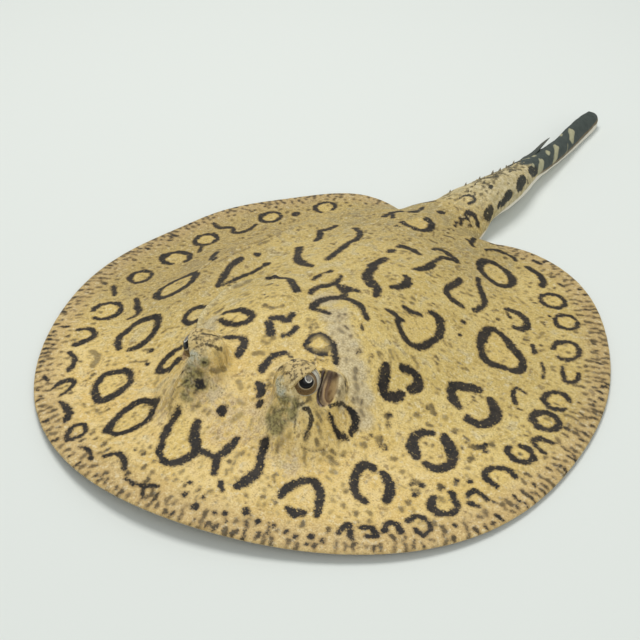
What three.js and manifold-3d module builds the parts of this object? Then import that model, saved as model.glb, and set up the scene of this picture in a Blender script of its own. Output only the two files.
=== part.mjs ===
// A freshwater stingray at life size, lying on a flat floor, in millimetres.
// +Z is up, the snout points along -Y and +X is the animal's left side.
// The origin is on the floor under the middle of the disc.
import * as THREE from 'three';
import { mergeVertices } from 'three/addons/utils/BufferGeometryUtils.js';
import Module from 'manifold-3d';

// ---------------------------------------------------------------- sizes
const GAP = 0.3;                         // width of a parting cut, and clearance round a set-in piece
// Disc outline: radius against the angle from the snout, as a few harmonics.
const OUT_COS = [128.6, 2.9, 2.7, 0.8, -2.5, 1.3, -1.3, 0.8];
const OUT_SIN = [-3.8, 3.0, -0.4, 0.2, -1.2];
const NOTCH_LEFT = 168.7, NOTCH_RIGHT = -167.3;   // degrees: where the disc margin meets the tail
const RIM = 1.5;                         // thickness of the fin margin
const FIN_RISE = 14;                     // extra thickness of the fin sheet towards the middle
// Lengthwise profile of the back along the middle line.
const BACK_Y = [-135, -115, -95, -75, -50, -20, 10, 40, 70, 100, 128];
const BACK_Z = [2.5, 7.5, 15, 24, 30, 32.5, 31.5, 27.5, 21.5, 16, 13];
// Half width of head and trunk above the fins.
const BODY_Y = [-135, -110, -74, -40, 0, 40, 80, 110, 128];
const BODY_W = [34, 38, 38, 48, 53, 48, 36, 27, 23];
const BODY_ROUND = 2.6;
// The right fin is drawn up in a low shoulder beside the trunk.
const SHOULDER_Y = [-60, -45, -20, 5, 25, 40, 55, 70, 85, 100, 115];
const SHOULDER_X = [52, 60, 67, 68, 64, 60, 54, 47, 37, 29, 24];
const SHOULDER_H = [0, 1.5, 5.5, 7.5, 7.5, 7, 6.5, 5.5, 4, 2, 0];
const SHOULDER_W = 15;
// Eyes.
const EYE_R = 6.2, EYE_AT = [21.7, -71.3, 34.1], EYE_LOOK = [0.85, -0.4, 0.34], EYE_OPEN_R = 5.0;
const MOUND_AT = [25, -73], MOUND_R = [11.5, 14.5], MOUND_H = 15.5;
// Gill chambers: a low dome on each side behind the eyes.
const GILL_AT = [26, -28], GILL_R = [20, 27], GILL_H = 3.5;
// Spiracles, one behind each eye.
const SPIRACLE_AT = [34.3, -61.5, 30.5], SPIRACLE_R = [5.2, 6.2, 7.6];
// Tail: stations along Y, middle line, half sizes, roll to the right and height of the underside.
const TAIL_Y = [130, 146, 165, 185, 205, 225, 245, 265, 279];
const TAIL_X = [5.8, 12.2, 16.1, 17.9, 20.6, 23.4, 24.8, 26.2, 27.4];
const TAIL_A = [17.6, 13.6, 10.7, 8.2, 6.4, 4.5, 3.3, 2.6, 2.0];
const TAIL_B = [8.8, 9.4, 8.5, 7.2, 6.1, 5.9, 6.4, 6.2, 5.1];
const TAIL_ROLL = [8, 18, 22, 26, 30, 33, 34, 34, 34];
const TAIL_LOW = [0.6, 0.8, 0.9, 1, 1, 1, 1, 1.2, 1.6];
const TAIL_END = 283;
const ROOT_TOP = 16.5;                   // height of the tail root
const STING = { from: 188, to: 223, width: 3.4, thick: 1.7, rise: 3.6 };
const THORNS = { from: 132, to: 184, count: 9, height: 2.2, radius: 1.3 };
// Parting lines.
const HEAD_BACK_Y = -40, TAIL_MID_Y = 178, TAIL_TIP_Y = 229;
const CORE_Y = [-152, -132, -110, -74, -40, 0, 40, 75, 100];
const CORE_W = [22, 27, 36, 45, 47, 47, 43, 33, 24];
// Pelvic fins under the hind part of the disc.
const PELVIC_AT = [27, 93], PELVIC_R = [15.5, 17], PELVIC_THICK = 1.5, PELVIC_LOW = 0.5;

// ---------------------------------------------------------------- helpers
const RAD = Math.PI / 180;
const clamp = (v, a, b) => Math.min(b, Math.max(a, v));
const smooth = (a, b, x) => { const t = clamp((x - a) / (b - a), 0, 1); return t * t * (3 - 2 * t); };
const wrap = (a) => Math.atan2(Math.sin(a), Math.cos(a));
const bump = (th, c, w) => Math.exp(-((wrap(th - c * RAD) / (w * RAD)) ** 2));

// A smooth line through stations that doesn't overshoot them.
function stations(xs, ys) {
  const n = xs.length, h = [], d = [], m = new Array(n).fill(0);
  for (let i = 0; i < n - 1; i++) { h[i] = xs[i + 1] - xs[i]; d[i] = (ys[i + 1] - ys[i]) / h[i]; }
  for (let i = 1; i < n - 1; i++) {
    if (d[i - 1] * d[i] > 0) {
      const w1 = 2 * h[i] + h[i - 1], w2 = h[i] + 2 * h[i - 1];
      m[i] = (w1 + w2) / (w1 / d[i - 1] + w2 / d[i]);
    }
  }
  m[0] = d[0]; m[n - 1] = d[n - 2];
  return (x) => {
    x = clamp(x, xs[0], xs[n - 1]);
    let i = 0;
    while (i < n - 2 && x > xs[i + 1]) i++;
    const t = (x - xs[i]) / h[i], t2 = t * t, t3 = t2 * t;
    return (2 * t3 - 3 * t2 + 1) * ys[i] + (t3 - 2 * t2 + t) * h[i] * m[i]
      + (3 * t2 - 2 * t3) * ys[i + 1] + (t3 - t2) * h[i] * m[i + 1];
  };
}

// ---------------------------------------------------------------- disc
function outline(th) {
  let r = 0;
  OUT_COS.forEach((c, k) => { r += c * Math.cos(k * th); });
  OUT_SIN.forEach((s, k) => { r += s * Math.sin((k + 1) * th); });
  return r - 8 * bump(th, 180, 10) - 6.5 * bump(th, 172, 8) - 3.5 * bump(th, -172, 7)
    + 2.3 * bump(th, -158, 7) - 3.3 * bump(th, -142, 9) + 2 * bump(th, -124, 9);
}
// How far the margin stands off the floor: most at the snout.
const lift = (th) => 0.6 + 5.2 * bump(th, -2, 27) + bump(th, 40, 18) + 0.8 * bump(th, -60, 25)
  + 2.6 * bump(th, -150, 30) + 0.8 * bump(th, 150, 18);

const backZ = stations(BACK_Y, BACK_Z), bodyW = stations(BODY_Y, BODY_W);
const shoulderX = stations(SHOULDER_Y, SHOULDER_X), shoulderH = stations(SHOULDER_Y, SHOULDER_H);
const finSheet = (rho) => RIM + FIN_RISE * Math.max(1 - rho, 0) ** 0.9;

function underside(x, y, rho) {
  return lift(Math.atan2(x, -y)) * smooth(0.62, 1, rho);
}
function back(x, y, rho) {
  const middle = finSheet(Math.min(Math.abs(y) / outline(y < 0 ? 0 : Math.PI), 1));
  const above = Math.max(backZ(y) - middle, 0);
  const wide = bodyW(y) * (x < 0 ? 1 + 0.05 * smooth(-60, 20, y) : 1);
  const body = above * Math.exp(-((Math.abs(x) / wide) ** BODY_ROUND));
  const shoulder = shoulderH(y) * Math.exp(-(((x + shoulderX(y)) / SHOULDER_W) ** 2));
  const d = Math.hypot((Math.abs(x) - MOUND_AT[0]) / MOUND_R[0], (y - MOUND_AT[1]) / MOUND_R[1]);
  const g = Math.hypot((Math.abs(x) - GILL_AT[0]) / GILL_R[0], (y - GILL_AT[1]) / GILL_R[1]);
  return underside(x, y, rho) + finSheet(rho) + (body + shoulder) * smooth(0, 0.1, 1 - rho)
    + MOUND_H * Math.exp(-(d ** 3)) + GILL_H * Math.exp(-(g ** 4));
}

// ---------------------------------------------------------------- tail
const tail = {
  x: stations(TAIL_Y, TAIL_X), a: stations(TAIL_Y, TAIL_A), b: stations(TAIL_Y, TAIL_B),
  roll: stations(TAIL_Y, TAIL_ROLL), low: stations(TAIL_Y, TAIL_LOW),
};
// One cross section: centre, half sizes, roll, slant and how pinched the upper and lower folds are.
function tailSection(y) {
  const end = Math.sqrt(clamp((TAIL_END - y) / 7, 0, 1));
  const a = tail.a(y) * end, b = tail.b(y) * end, roll = tail.roll(y) * RAD;
  const deep = Math.hypot(tail.a(y) * Math.sin(roll), tail.b(y) * Math.cos(roll));
  const slope = (tail.x(y + 1) - tail.x(y - 1)) / 2;
  return { x: tail.x(y), y, z: tail.low(y) + deep, a, b, roll, slope, pinch: 1 + 0.7 * smooth(212, 245, y) };
}
// A point of a cross section; f runs from 0 on the right flank over the back to 1 on the left, g is +1 above and -1 below.
function tailPoint(y, f, g) {
  const s = tailSection(y), c = -Math.cos(Math.PI * f), v = Math.sin(Math.PI * f);
  const u = s.a * Math.sign(c) * Math.abs(c) ** s.pinch, w = g * s.b * v;
  const across = u * Math.cos(s.roll) - w * Math.sin(s.roll);
  return [s.x + across * Math.cos(Math.atan(s.slope)), s.y - across * Math.sin(Math.atan(s.slope)),
    s.z + u * Math.sin(s.roll) + w * Math.cos(s.roll)];
}

// ---------------------------------------------------------------- the whole animal as one closed skin
const OUTSIDE = 84, PORT = 12;           // steps round the free margin and across the tail root
const TOP_RINGS = [[0.06, 8], [0.13, 4], [0.2, 2], [0.27, 2], [0.34, 2], [0.41, 2], [0.465, 1], [0.515, 1], [0.56, 1],
  [0.605, 1], [0.65, 1], [0.7, 1], [0.76, 1], [0.825, 1], [0.885, 1], [0.94, 1], [0.98, 1]];
const LOW_RINGS = [[0.15, 8], [0.35, 4], [0.55, 2], [0.7, 1], [0.81, 1], [0.91, 1], [0.98, 1]];
const TAIL_RINGS = [122, 129, 137, 146, 155, 164, 173, 182, 191, 200, 209, 218, 227, 236, 245, 254, 262, 269, 275, 279.5, 282.2];

function wholeSkin() {
  const corner = (deg) => { const r = outline(deg * RAD); return [r * Math.sin(deg * RAD), -r * Math.cos(deg * RAD)]; };
  const left = corner(NOTCH_LEFT), right = corner(NOTCH_RIGHT);
  const n = OUTSIDE + PORT, rimAt = [], line = [];
  for (let i = 0; i < n; i++) {
    if (i <= OUTSIDE) {
      const th = (NOTCH_LEFT + (NOTCH_RIGHT - NOTCH_LEFT) * i / OUTSIDE) * RAD, r = outline(th);
      rimAt.push([r * Math.sin(th), -r * Math.cos(th)]); line.push(null);
    } else {
      const f = (i - OUTSIDE) / PORT, u = (1 - Math.cos(Math.PI * f)) / 2;
      rimAt.push([right[0] + (left[0] - right[0]) * u, right[1] + (left[1] - right[1]) * u]); line.push(f);
    }
  }
  const zL = lift(NOTCH_LEFT * RAD) + RIM / 2, zR = lift(NOTCH_RIGHT * RAD) + RIM / 2;
  const rootTop = (f) => { const z = zR + (zL - zR) * f; return z + (ROOT_TOP - z) * Math.sin(Math.PI * f) ** (1.9 - 0.6 * f); };
  const rootLow = (f) => { const z = zR + (zL - zR) * f; return z + (0.5 - z) * Math.sin(Math.PI * f) ** 0.5; };
  const pos = [], tri = [];
  const add = (p) => pos.push(p) - 1;
  const at = (i, t, up) => {
    const [rx, ry] = rimAt[i], x = rx * t, y = ry * t, f = line[i];
    const th = Math.atan2(x, -y), rho = f === null ? t : Math.min(Math.hypot(x, y) / (outline(th) * (1 + 0.5 * Math.sin(Math.PI * f) ** 2)), 1);
    let z = up ? back(x, y, rho) : underside(x, y, rho);
    if (f !== null) {
      const side = 4 * (f - 0.5) ** 2, s = smooth(0.72, 1, t) ** (1 / (1.03 - side));
      z += ((up ? rootTop(f) : rootLow(f)) - z) * s;
    }
    return [x, y, z];
  };
  const topC = add([0, 0, back(0, 0, 0)]), lowC = add([0, 0, 0]);
  const rimLow = [], rimTop = [];
  for (let i = 0; i < n; i++) {
    if (line[i] === null) { const th = Math.atan2(rimAt[i][0], -rimAt[i][1]); rimTop[i] = rimLow[i] = add([...rimAt[i], lift(th) + RIM / 2]); }
    else { rimTop[i] = add([...rimAt[i], rootTop(line[i])]); rimLow[i] = add([...rimAt[i], rootLow(line[i])]); }
  }
  const cover = (rings, up, centre, rim) => {
    const face = (a, b, c) => tri.push(up ? [a, c, b] : [a, b, c]);
    let ids = null, step = 0;
    for (const [t, s] of [...rings, [1, 1]]) {
      const now = [];
      for (let i = 0; i < n; i += s) now.push(t === 1 ? rim[i] : add(at(i, t, up)));
      const m = now.length;
      if (!ids) { for (let k = 0; k < m; k++) face(centre, now[k], now[(k + 1) % m]); }
      else if (s === step) {
        for (let k = 0; k < m; k++) {
          const a = ids[k], b = ids[(k + 1) % m], c = now[(k + 1) % m], d = now[k];
          if (k % 2) { face(a, d, c); face(a, c, b); } else { face(a, d, b); face(b, d, c); }
        }
      } else {
        for (let k = 0; k < ids.length; k++) {
          const a = ids[k], b = ids[(k + 1) % ids.length], c = now[2 * k], d = now[2 * k + 1], e = now[(2 * k + 2) % m];
          face(a, c, d); face(a, d, b); face(b, d, e);
        }
      }
      ids = now; step = s;
    }
  };
  cover(TOP_RINGS, true, topC, rimTop);
  cover(LOW_RINGS, false, lowC, rimLow);
  let ring = [];
  for (let m = 0; m <= PORT; m++) ring.push(rimTop[(OUTSIDE + m) % n]);
  for (let m = PORT - 1; m >= 1; m--) ring.push(rimLow[OUTSIDE + m]);
  for (const y of TAIL_RINGS) {
    const next = [];
    const grow = smooth(118, 132, y);
    const put = (f, g) => {
      const p = tailPoint(Math.max(y, 130), f, g);
      if (y < 130) {                       // the root flares from the tail into the disc
        const u = (1 - Math.cos(Math.PI * f)) / 2, k = (y - 116) / 14;
        const a = [right[0] + (left[0] - right[0]) * u, right[1] + (left[1] - right[1]) * u, g > 0 ? rootTop(f) : rootLow(f)];
        const e = 1 - (1 - k) ** 3;
        return [a[0] + (p[0] - a[0]) * e, a[1] + (p[1] - a[1]) * k, a[2] + (p[2] - a[2]) * grow];
      }
      return p;
    };
    for (let m = 0; m <= PORT; m++) next.push(add(put(m / PORT, 1)));
    for (let m = PORT - 1; m >= 1; m--) next.push(add(put(m / PORT, -1)));
    const q = ring.length;
    for (let k = 0; k < q; k++) {
      const a = ring[k], b = ring[(k + 1) % q], c = next[(k + 1) % q], d = next[k];
      tri.push([a, b, c], [a, c, d]);
    }
    ring = next;
  }
  const e = tailSection(TAIL_END), tip = add([e.x, TAIL_END, e.z]);
  for (let k = 0; k < ring.length; k++) tri.push([ring[k], ring[(k + 1) % ring.length], tip]);
  return { pos, tri };
}

// ---------------------------------------------------------------- solids
const wasm = await Module();
wasm.setup();
const { Manifold, Mesh } = wasm;
const fromLists = (pos, tri) => new Manifold(new Mesh({ numProp: 3, vertProperties: new Float32Array(pos.flat()), triVerts: new Uint32Array(tri.flat()) }));
function fromGeometry(geometry) {
  const g = geometry.index ? geometry.clone() : geometry.clone();
  g.deleteAttribute('normal'); g.deleteAttribute('uv');
  const m = mergeVertices(g, 1e-4);
  const p = m.attributes.position.array, idx = m.index.array, tri = [];
  for (let i = 0; i < idx.length; i += 3) {
    if (idx[i] !== idx[i + 1] && idx[i + 1] !== idx[i + 2] && idx[i] !== idx[i + 2]) tri.push(idx[i], idx[i + 1], idx[i + 2]);
  }
  return new Manifold(new Mesh({ numProp: 3, vertProperties: new Float32Array(p), triVerts: new Uint32Array(tri) }));
}
function toGeometry(solid) {
  const m = solid.getMesh(), g = new THREE.BufferGeometry(), p = new Float32Array(m.numVert * 3);
  for (let i = 0; i < m.numVert; i++) for (let k = 0; k < 3; k++) p[3 * i + k] = m.vertProperties[m.numProp * i + k];
  g.setAttribute('position', new THREE.BufferAttribute(p, 3));
  g.setIndex(new THREE.BufferAttribute(new Uint32Array(m.triVerts), 1));
  g.computeVertexNormals();
  return g;
}
// An upright wall one gap thick that follows a line on the floor plan.
function wall(points) {
  const v = points.map((p) => new THREE.Vector2(...p)), sides = [[], []];
  v.forEach((p, i) => {
    const d = v[Math.min(i + 1, v.length - 1)].clone().sub(v[Math.max(i - 1, 0)]).normalize();
    sides[0].push(new THREE.Vector2(p.x - d.y * GAP / 2, p.y + d.x * GAP / 2));
    sides[1].unshift(new THREE.Vector2(p.x + d.y * GAP / 2, p.y - d.x * GAP / 2));
  });
  const g = new THREE.ExtrudeGeometry(new THREE.Shape([...sides[0], ...sides[1]]), { depth: 90, bevelEnabled: false });
  g.translate(0, 0, -20);
  return fromGeometry(g);
}
function ellipsoid(at, r, seg = [14, 10]) {
  const g = new THREE.SphereGeometry(1, ...seg);
  g.scale(...r); g.translate(...at);
  return g;
}
function along(geometry, from, dir) {
  geometry.applyQuaternion(new THREE.Quaternion().setFromUnitVectors(new THREE.Vector3(0, 1, 0), new THREE.Vector3(...dir).normalize()));
  geometry.translate(...from);
  return geometry;
}

// The sting: a flat, pointed, lightly curved spine that lies on the tail's upper side.
function stingSolid(extra) {
  const rows = 12, cols = 8, pos = [], tri = [];
  const centre = (k) => {
    const y = STING.from + (STING.to - STING.from) * k, s = tailSection(y);
    const up = s.b - 0.9 + STING.rise * smooth(0.1, 1, k), dir = [-Math.sin(s.roll), 0, Math.cos(s.roll)];
    return { c: [s.x + dir[0] * up, y, s.z + dir[2] * up], dir, side: [Math.cos(s.roll), 0, Math.sin(s.roll)] };
  };
  const size = (k) => Math.max(1 - k, 0) ** 0.55 * smooth(-0.25, 0.12, k);
  for (let i = 0; i <= rows; i++) {
    const k = 0.985 * i / rows, { c, dir, side } = centre(k);
    for (let j = 0; j < cols; j++) {
      const a = 2 * Math.PI * j / cols, w = (STING.width / 2) * size(k) + extra, t = (STING.thick / 2) * size(k) + extra;
      pos.push([0, 1, 2].map((d) => c[d] + side[d] * w * Math.cos(a) + dir[d] * t * Math.sin(a)));
    }
  }
  const first = centre(0).c, last = centre(1).c;
  pos.push([first[0], first[1] - extra - 0.4, first[2]], [last[0], last[1] + extra, last[2]]);
  const A = pos.length - 2, B = pos.length - 1;
  for (let j = 0; j < cols; j++) {
    const j1 = (j + 1) % cols;
    tri.push([A, j, j1], [B, rows * cols + j1, rows * cols + j]);
    for (let i = 0; i < rows; i++) {
      const a = i * cols + j, b = i * cols + j1, c = (i + 1) * cols + j1, d = (i + 1) * cols + j;
      tri.push([a, c, b], [a, d, c]);
    }
  }
  return fromLists(pos, tri);
}

const skin = wholeSkin();
let whole = fromLists(skin.pos, skin.tri);
// Thorns in one row along the tail's back, pointing backwards.
for (let i = 0; i < THORNS.count; i++) {
  const y = THORNS.from + (THORNS.to - THORNS.from) * i / (THORNS.count - 1), s = tailSection(y);
  const up = [-Math.sin(s.roll), 0.75, Math.cos(s.roll)], k = 0.75 + 0.25 * ((i * 7) % 5) / 4;
  const g = new THREE.ConeGeometry(THORNS.radius * k, (THORNS.height + 1.6) * k, 6);
  g.translate(0, (THORNS.height + 1.6) * k / 2 - 1.6 * k, 0);
  const top = tailPoint(y, 0.5, 1);
  whole = whole.add(fromGeometry(along(g, top, up)));
}
// Eyes in their sockets, open to the side.
const eyes = {};
for (const [name, m] of [['eye_left', 1], ['eye_right', -1]]) {
  const at = [m * EYE_AT[0], EYE_AT[1], EYE_AT[2]], look = [m * EYE_LOOK[0], EYE_LOOK[1], EYE_LOOK[2]];
  whole = whole.subtract(fromGeometry(ellipsoid(at, [EYE_R + GAP, EYE_R + GAP, EYE_R + GAP], [16, 11])));
  const window = new THREE.CylinderGeometry(EYE_OPEN_R * 1.5, EYE_OPEN_R, 12, 12);
  window.translate(0, 6 + 2.5, 0);
  whole = whole.subtract(fromGeometry(along(window, at, look)));
  const ball = new THREE.SphereGeometry(EYE_R, 18, 12);
  eyes[name] = { ball, at };
  // Spiracle behind the eye.
  whole = whole.subtract(fromGeometry(ellipsoid([m * SPIRACLE_AT[0], SPIRACLE_AT[1], SPIRACLE_AT[2]], SPIRACLE_R)));
}
// The sting lies in a shallow bed.
whole = whole.subtract(stingSolid(GAP));
// Pelvic fins lie in shallow beds under the disc.
function pelvic(m, extra, depth) {
  const pts = [], [cx, cy] = PELVIC_AT;
  for (let i = 0; i < 28; i++) {
    const a = 2 * Math.PI * i / 28, c = Math.cos(a), s = Math.sin(a);
    const r = 1 + 0.12 * Math.max(0, s) * Math.abs(c) - 0.1 * Math.max(0, -s);
    pts.push(new THREE.Vector2(m * (cx + (PELVIC_R[0] + extra) * r * c), cy + (PELVIC_R[1] + extra) * r * s));
  }
  if (m < 0) pts.reverse();
  const g = new THREE.ExtrudeGeometry(new THREE.Shape(pts), { depth, bevelEnabled: false });
  return g;
}
const pelvicFins = {};
for (const [name, m] of [['pelvic_fin_left', 1], ['pelvic_fin_right', -1]]) {
  const bed = pelvic(m, GAP, PELVIC_LOW + PELVIC_THICK + GAP + 5); bed.translate(0, 0, -5);
  whole = whole.subtract(fromGeometry(bed));
  const fin = pelvic(m, 0, PELVIC_THICK); fin.translate(0, 0, PELVIC_LOW);
  pelvicFins[name] = fromGeometry(fin);
}

// ---------------------------------------------------------------- parting
const coreW = stations(CORE_Y, CORE_W);
const corner = (deg) => { const r = outline(deg * RAD); return [r * Math.sin(deg * RAD), -r * Math.cos(deg * RAD)]; };
const exits = { left: [corner(NOTCH_LEFT), [29, 119]], right: [corner(NOTCH_RIGHT), [-32.5, 131]] };
for (const [side, m] of [['left', 1], ['right', -1]]) {
  const pts = [];
  for (let y = CORE_Y[0]; y <= 98; y += 9.6) pts.push([m * coreW(y), y]);
  pts.push(exits[side][0], exits[side][1]);
  whole = whole.subtract(wall(pts));
}
whole = whole.subtract(wall([exits.right[1], exits.left[1]]));
whole = whole.subtract(wall([[-47.05, HEAD_BACK_Y], [47.05, HEAD_BACK_Y]]));
whole = whole.subtract(wall([[-15, TAIL_MID_Y + 5], [50, TAIL_MID_Y - 5]]));
whole = whole.subtract(wall([[0, TAIL_TIP_Y + 2], [50, TAIL_TIP_Y - 2]]));

const names = [
  ['head', (c) => Math.abs(c[0]) < 46 && c[1] < HEAD_BACK_Y],
  ['trunk', (c) => Math.abs(c[0]) < 40 && c[1] > HEAD_BACK_Y && c[1] < 112],
  ['tail_base', (c) => c[1] > 118 && c[1] < TAIL_MID_Y && Math.abs(c[0]) < 40],
  ['tail_middle', (c) => c[1] > TAIL_MID_Y && c[1] < TAIL_TIP_Y],
  ['tail_tip', (c) => c[1] > TAIL_TIP_Y],
  ['pectoral_fin_left', (c) => c[0] > 46],
  ['pectoral_fin_right', (c) => c[0] < -46],
];
const solids = {};
for (const piece of whole.decompose()) {
  const b = piece.boundingBox(), c = [0, 1, 2].map((k) => (b.min[k] + b.max[k]) / 2);
  if (piece.volume() < 1) continue;      // crumbs of a cut
  const found = names.find(([, test]) => test(c));
  if (!found || solids[found[0]]) throw new Error(`a piece at ${c.map((v) => v.toFixed(1))} of ${piece.volume().toFixed(1)} has no name of its own`);
  solids[found[0]] = piece;
}
Object.assign(solids, pelvicFins, { sting: stingSolid(0) });

// ---------------------------------------------------------------- scene graph
const material = (color, roughness, metalness = 0) => new THREE.MeshStandardMaterial({ color, roughness, metalness, flatShading: false });
const skinTan = material(0xc8a765, 0.55), skinDark = material(0x3a3b38, 0.5), finTan = material(0xd0a878, 0.55),
  pale = material(0xe8dccb, 0.6), bone = material(0x6a665c, 0.45), eyeball = material(0x2a241c, 0.12);
const looks = {
  head: skinTan, trunk: skinTan, pectoral_fin_left: finTan, pectoral_fin_right: finTan, pelvic_fin_left: pale, pelvic_fin_right: pale,
  tail_base: skinTan, tail_middle: skinTan, tail_tip: skinDark, sting: bone,
};
const stingray = new THREE.Group();
for (const [name, solid] of Object.entries(solids)) {
  const mesh = new THREE.Mesh(toGeometry(solid), looks[name]);
  mesh.name = name;
  stingray.add(mesh);
}
for (const [name, { ball, at }] of Object.entries(eyes)) {
  const mesh = new THREE.Mesh(ball, eyeball);
  mesh.name = name;
  mesh.position.set(...at);
  stingray.add(mesh);
}
export default stingray;
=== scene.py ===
"""A freshwater stingray, life size, lying flat: one skin with its markings, eyes, sting and thorns. Sizes in millimetres until they are handed to Blender."""

import bpy
import numpy as np
from mathutils import Matrix, Vector


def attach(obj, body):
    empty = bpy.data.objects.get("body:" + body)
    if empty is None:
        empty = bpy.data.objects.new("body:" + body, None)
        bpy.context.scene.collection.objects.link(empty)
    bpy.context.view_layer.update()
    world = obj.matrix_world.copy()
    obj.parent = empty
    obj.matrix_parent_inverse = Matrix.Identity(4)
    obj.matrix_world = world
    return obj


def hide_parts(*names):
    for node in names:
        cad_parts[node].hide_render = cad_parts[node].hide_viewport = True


# ---------------------------------------------------------------- sizes, in millimetres
OUT_COS = [128.6, 2.9, 2.7, 0.8, -2.5, 1.3, -1.3, 0.8]
OUT_SIN = [-3.8, 3.0, -0.4, 0.2, -1.2]
NOTCH_LEFT, NOTCH_RIGHT = 168.7, -167.3
RIM, FIN_RISE = 1.5, 14.0
BACK_Y = [-135, -115, -95, -75, -50, -20, 10, 40, 70, 100, 128]
BACK_Z = [2.5, 7.5, 15, 24, 30, 32.5, 31.5, 27.5, 21.5, 16, 13]
BODY_Y = [-135, -110, -74, -40, 0, 40, 80, 110, 128]
BODY_W = [34, 38, 38, 48, 53, 48, 36, 27, 23]
BODY_ROUND = 2.6
SHOULDER_Y = [-60, -45, -20, 5, 25, 40, 55, 70, 85, 100, 115]
SHOULDER_X = [52, 60, 67, 68, 64, 60, 54, 47, 37, 29, 24]
SHOULDER_H = [0, 1.5, 5.5, 7.5, 7.5, 7, 6.5, 5.5, 4, 2, 0]
SHOULDER_W = 15.0
EYE_R = 6.2
EYE_AT = np.array([23.7, -69.95, 34.45])
EYE_LOOK = np.array([0.77, -0.46, 0.42])
EYE_LOOK = EYE_LOOK / np.linalg.norm(EYE_LOOK)
MOUND_AT, MOUND_R, MOUND_H = [25, -73], [11.5, 14.5], 15.5
GILL_AT, GILL_R, GILL_H = [26, -28], [20, 27], 3.5
TAIL_Y = [130, 146, 165, 185, 205, 225, 245, 265, 279]
TAIL_X = [5.8, 12.2, 16.1, 17.9, 20.6, 23.4, 24.8, 26.2, 27.4]
TAIL_A = [17.6, 13.6, 10.7, 8.2, 6.4, 4.5, 3.3, 2.6, 2.0]
TAIL_B = [8.8, 9.4, 8.5, 7.2, 6.1, 5.9, 6.4, 6.2, 5.1]
TAIL_ROLL = [8, 18, 22, 26, 30, 33, 34, 34, 34]
TAIL_LOW = [0.6, 0.8, 0.9, 1, 1, 1, 1, 1.2, 1.6]
TAIL_END, ROOT_TOP = 283.0, 16.5
RAD = np.pi / 180


# ---------------------------------------------------------------- helpers
def smooth(a, b, x):
    t = np.clip((np.asarray(x, float) - a) / (b - a), 0, 1)
    return t * t * (3 - 2 * t)


def mix(a, b, t):
    return a + (b - a) * t


def wrap(a):
    return np.arctan2(np.sin(a), np.cos(a))


def bump(th, c, w):
    return np.exp(-((wrap(th - c * RAD) / (w * RAD)) ** 2))


def stations(xs, ys):
    """A smooth line through stations that doesn't overshoot them."""
    xs, ys = np.array(xs, float), np.array(ys, float)
    h, n = np.diff(xs), len(xs)
    d, m = np.diff(ys) / h, np.zeros(n)
    for i in range(1, n - 1):
        if d[i - 1] * d[i] > 0:
            w1, w2 = 2 * h[i] + h[i - 1], h[i] + 2 * h[i - 1]
            m[i] = (w1 + w2) / (w1 / d[i - 1] + w2 / d[i])
    m[0], m[-1] = d[0], d[-1]

    def line(x):
        x = np.clip(np.asarray(x, float), xs[0], xs[-1])
        i = np.clip(np.searchsorted(xs, x, side="left") - 1, 0, n - 2)
        t = (x - xs[i]) / h[i]
        t2, t3 = t * t, t * t * t
        return (2 * t3 - 3 * t2 + 1) * ys[i] + (t3 - 2 * t2 + t) * h[i] * m[i] + (3 * t2 - 2 * t3) * ys[i + 1] + (t3 - t2) * h[i] * m[i + 1]

    return line


def noise3(p, scale=1.0, seed=0):
    """Smooth value noise from -1 to 1 at points p, with features about scale across."""
    q = np.asarray(p, float) / scale + seed * 17.137
    i = np.floor(q).astype(np.int64)
    f = q - i
    f = f * f * f * (f * (f * 6 - 15) + 10)
    out = np.zeros(len(q))
    for dx in (0, 1):
        for dy in (0, 1):
            for dz in (0, 1):
                h = (i[:, 0] + dx) * 73856093 ^ (i[:, 1] + dy) * 19349663 ^ (i[:, 2] + dz) * 83492791 ^ (seed * 2654435761)
                h = (h ^ (h >> 13)) * 1274126177
                h = (h ^ (h >> 16)) & 0xFFFFFF
                w = (f[:, 0] if dx else 1 - f[:, 0]) * (f[:, 1] if dy else 1 - f[:, 1]) * (f[:, 2] if dz else 1 - f[:, 2])
                out += w * (h / 8388607.5 - 1)
    return out


# ---------------------------------------------------------------- the disc
def outline(th):
    r = sum(c * np.cos(k * th) for k, c in enumerate(OUT_COS)) + sum(s * np.sin((k + 1) * th) for k, s in enumerate(OUT_SIN))
    return (r - 8 * bump(th, 180, 10) - 6.5 * bump(th, 172, 8) - 3.5 * bump(th, -172, 7)
            + 2.3 * bump(th, -158, 7) - 3.3 * bump(th, -142, 9) + 2 * bump(th, -124, 9))


def lift(th):
    return (0.6 + 5.2 * bump(th, -2, 27) + bump(th, 40, 18) + 0.8 * bump(th, -60, 25)
            + 2.6 * bump(th, -150, 30) + 0.8 * bump(th, 150, 18))


back_z, body_w = stations(BACK_Y, BACK_Z), stations(BODY_Y, BODY_W)
shoulder_x, shoulder_h = stations(SHOULDER_Y, SHOULDER_X), stations(SHOULDER_Y, SHOULDER_H)


def fin_sheet(rho):
    return RIM + FIN_RISE * np.maximum(1 - rho, 0) ** 0.9


def underside(x, y, rho):
    return lift(np.arctan2(x, -y)) * smooth(0.62, 1, rho)


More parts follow.
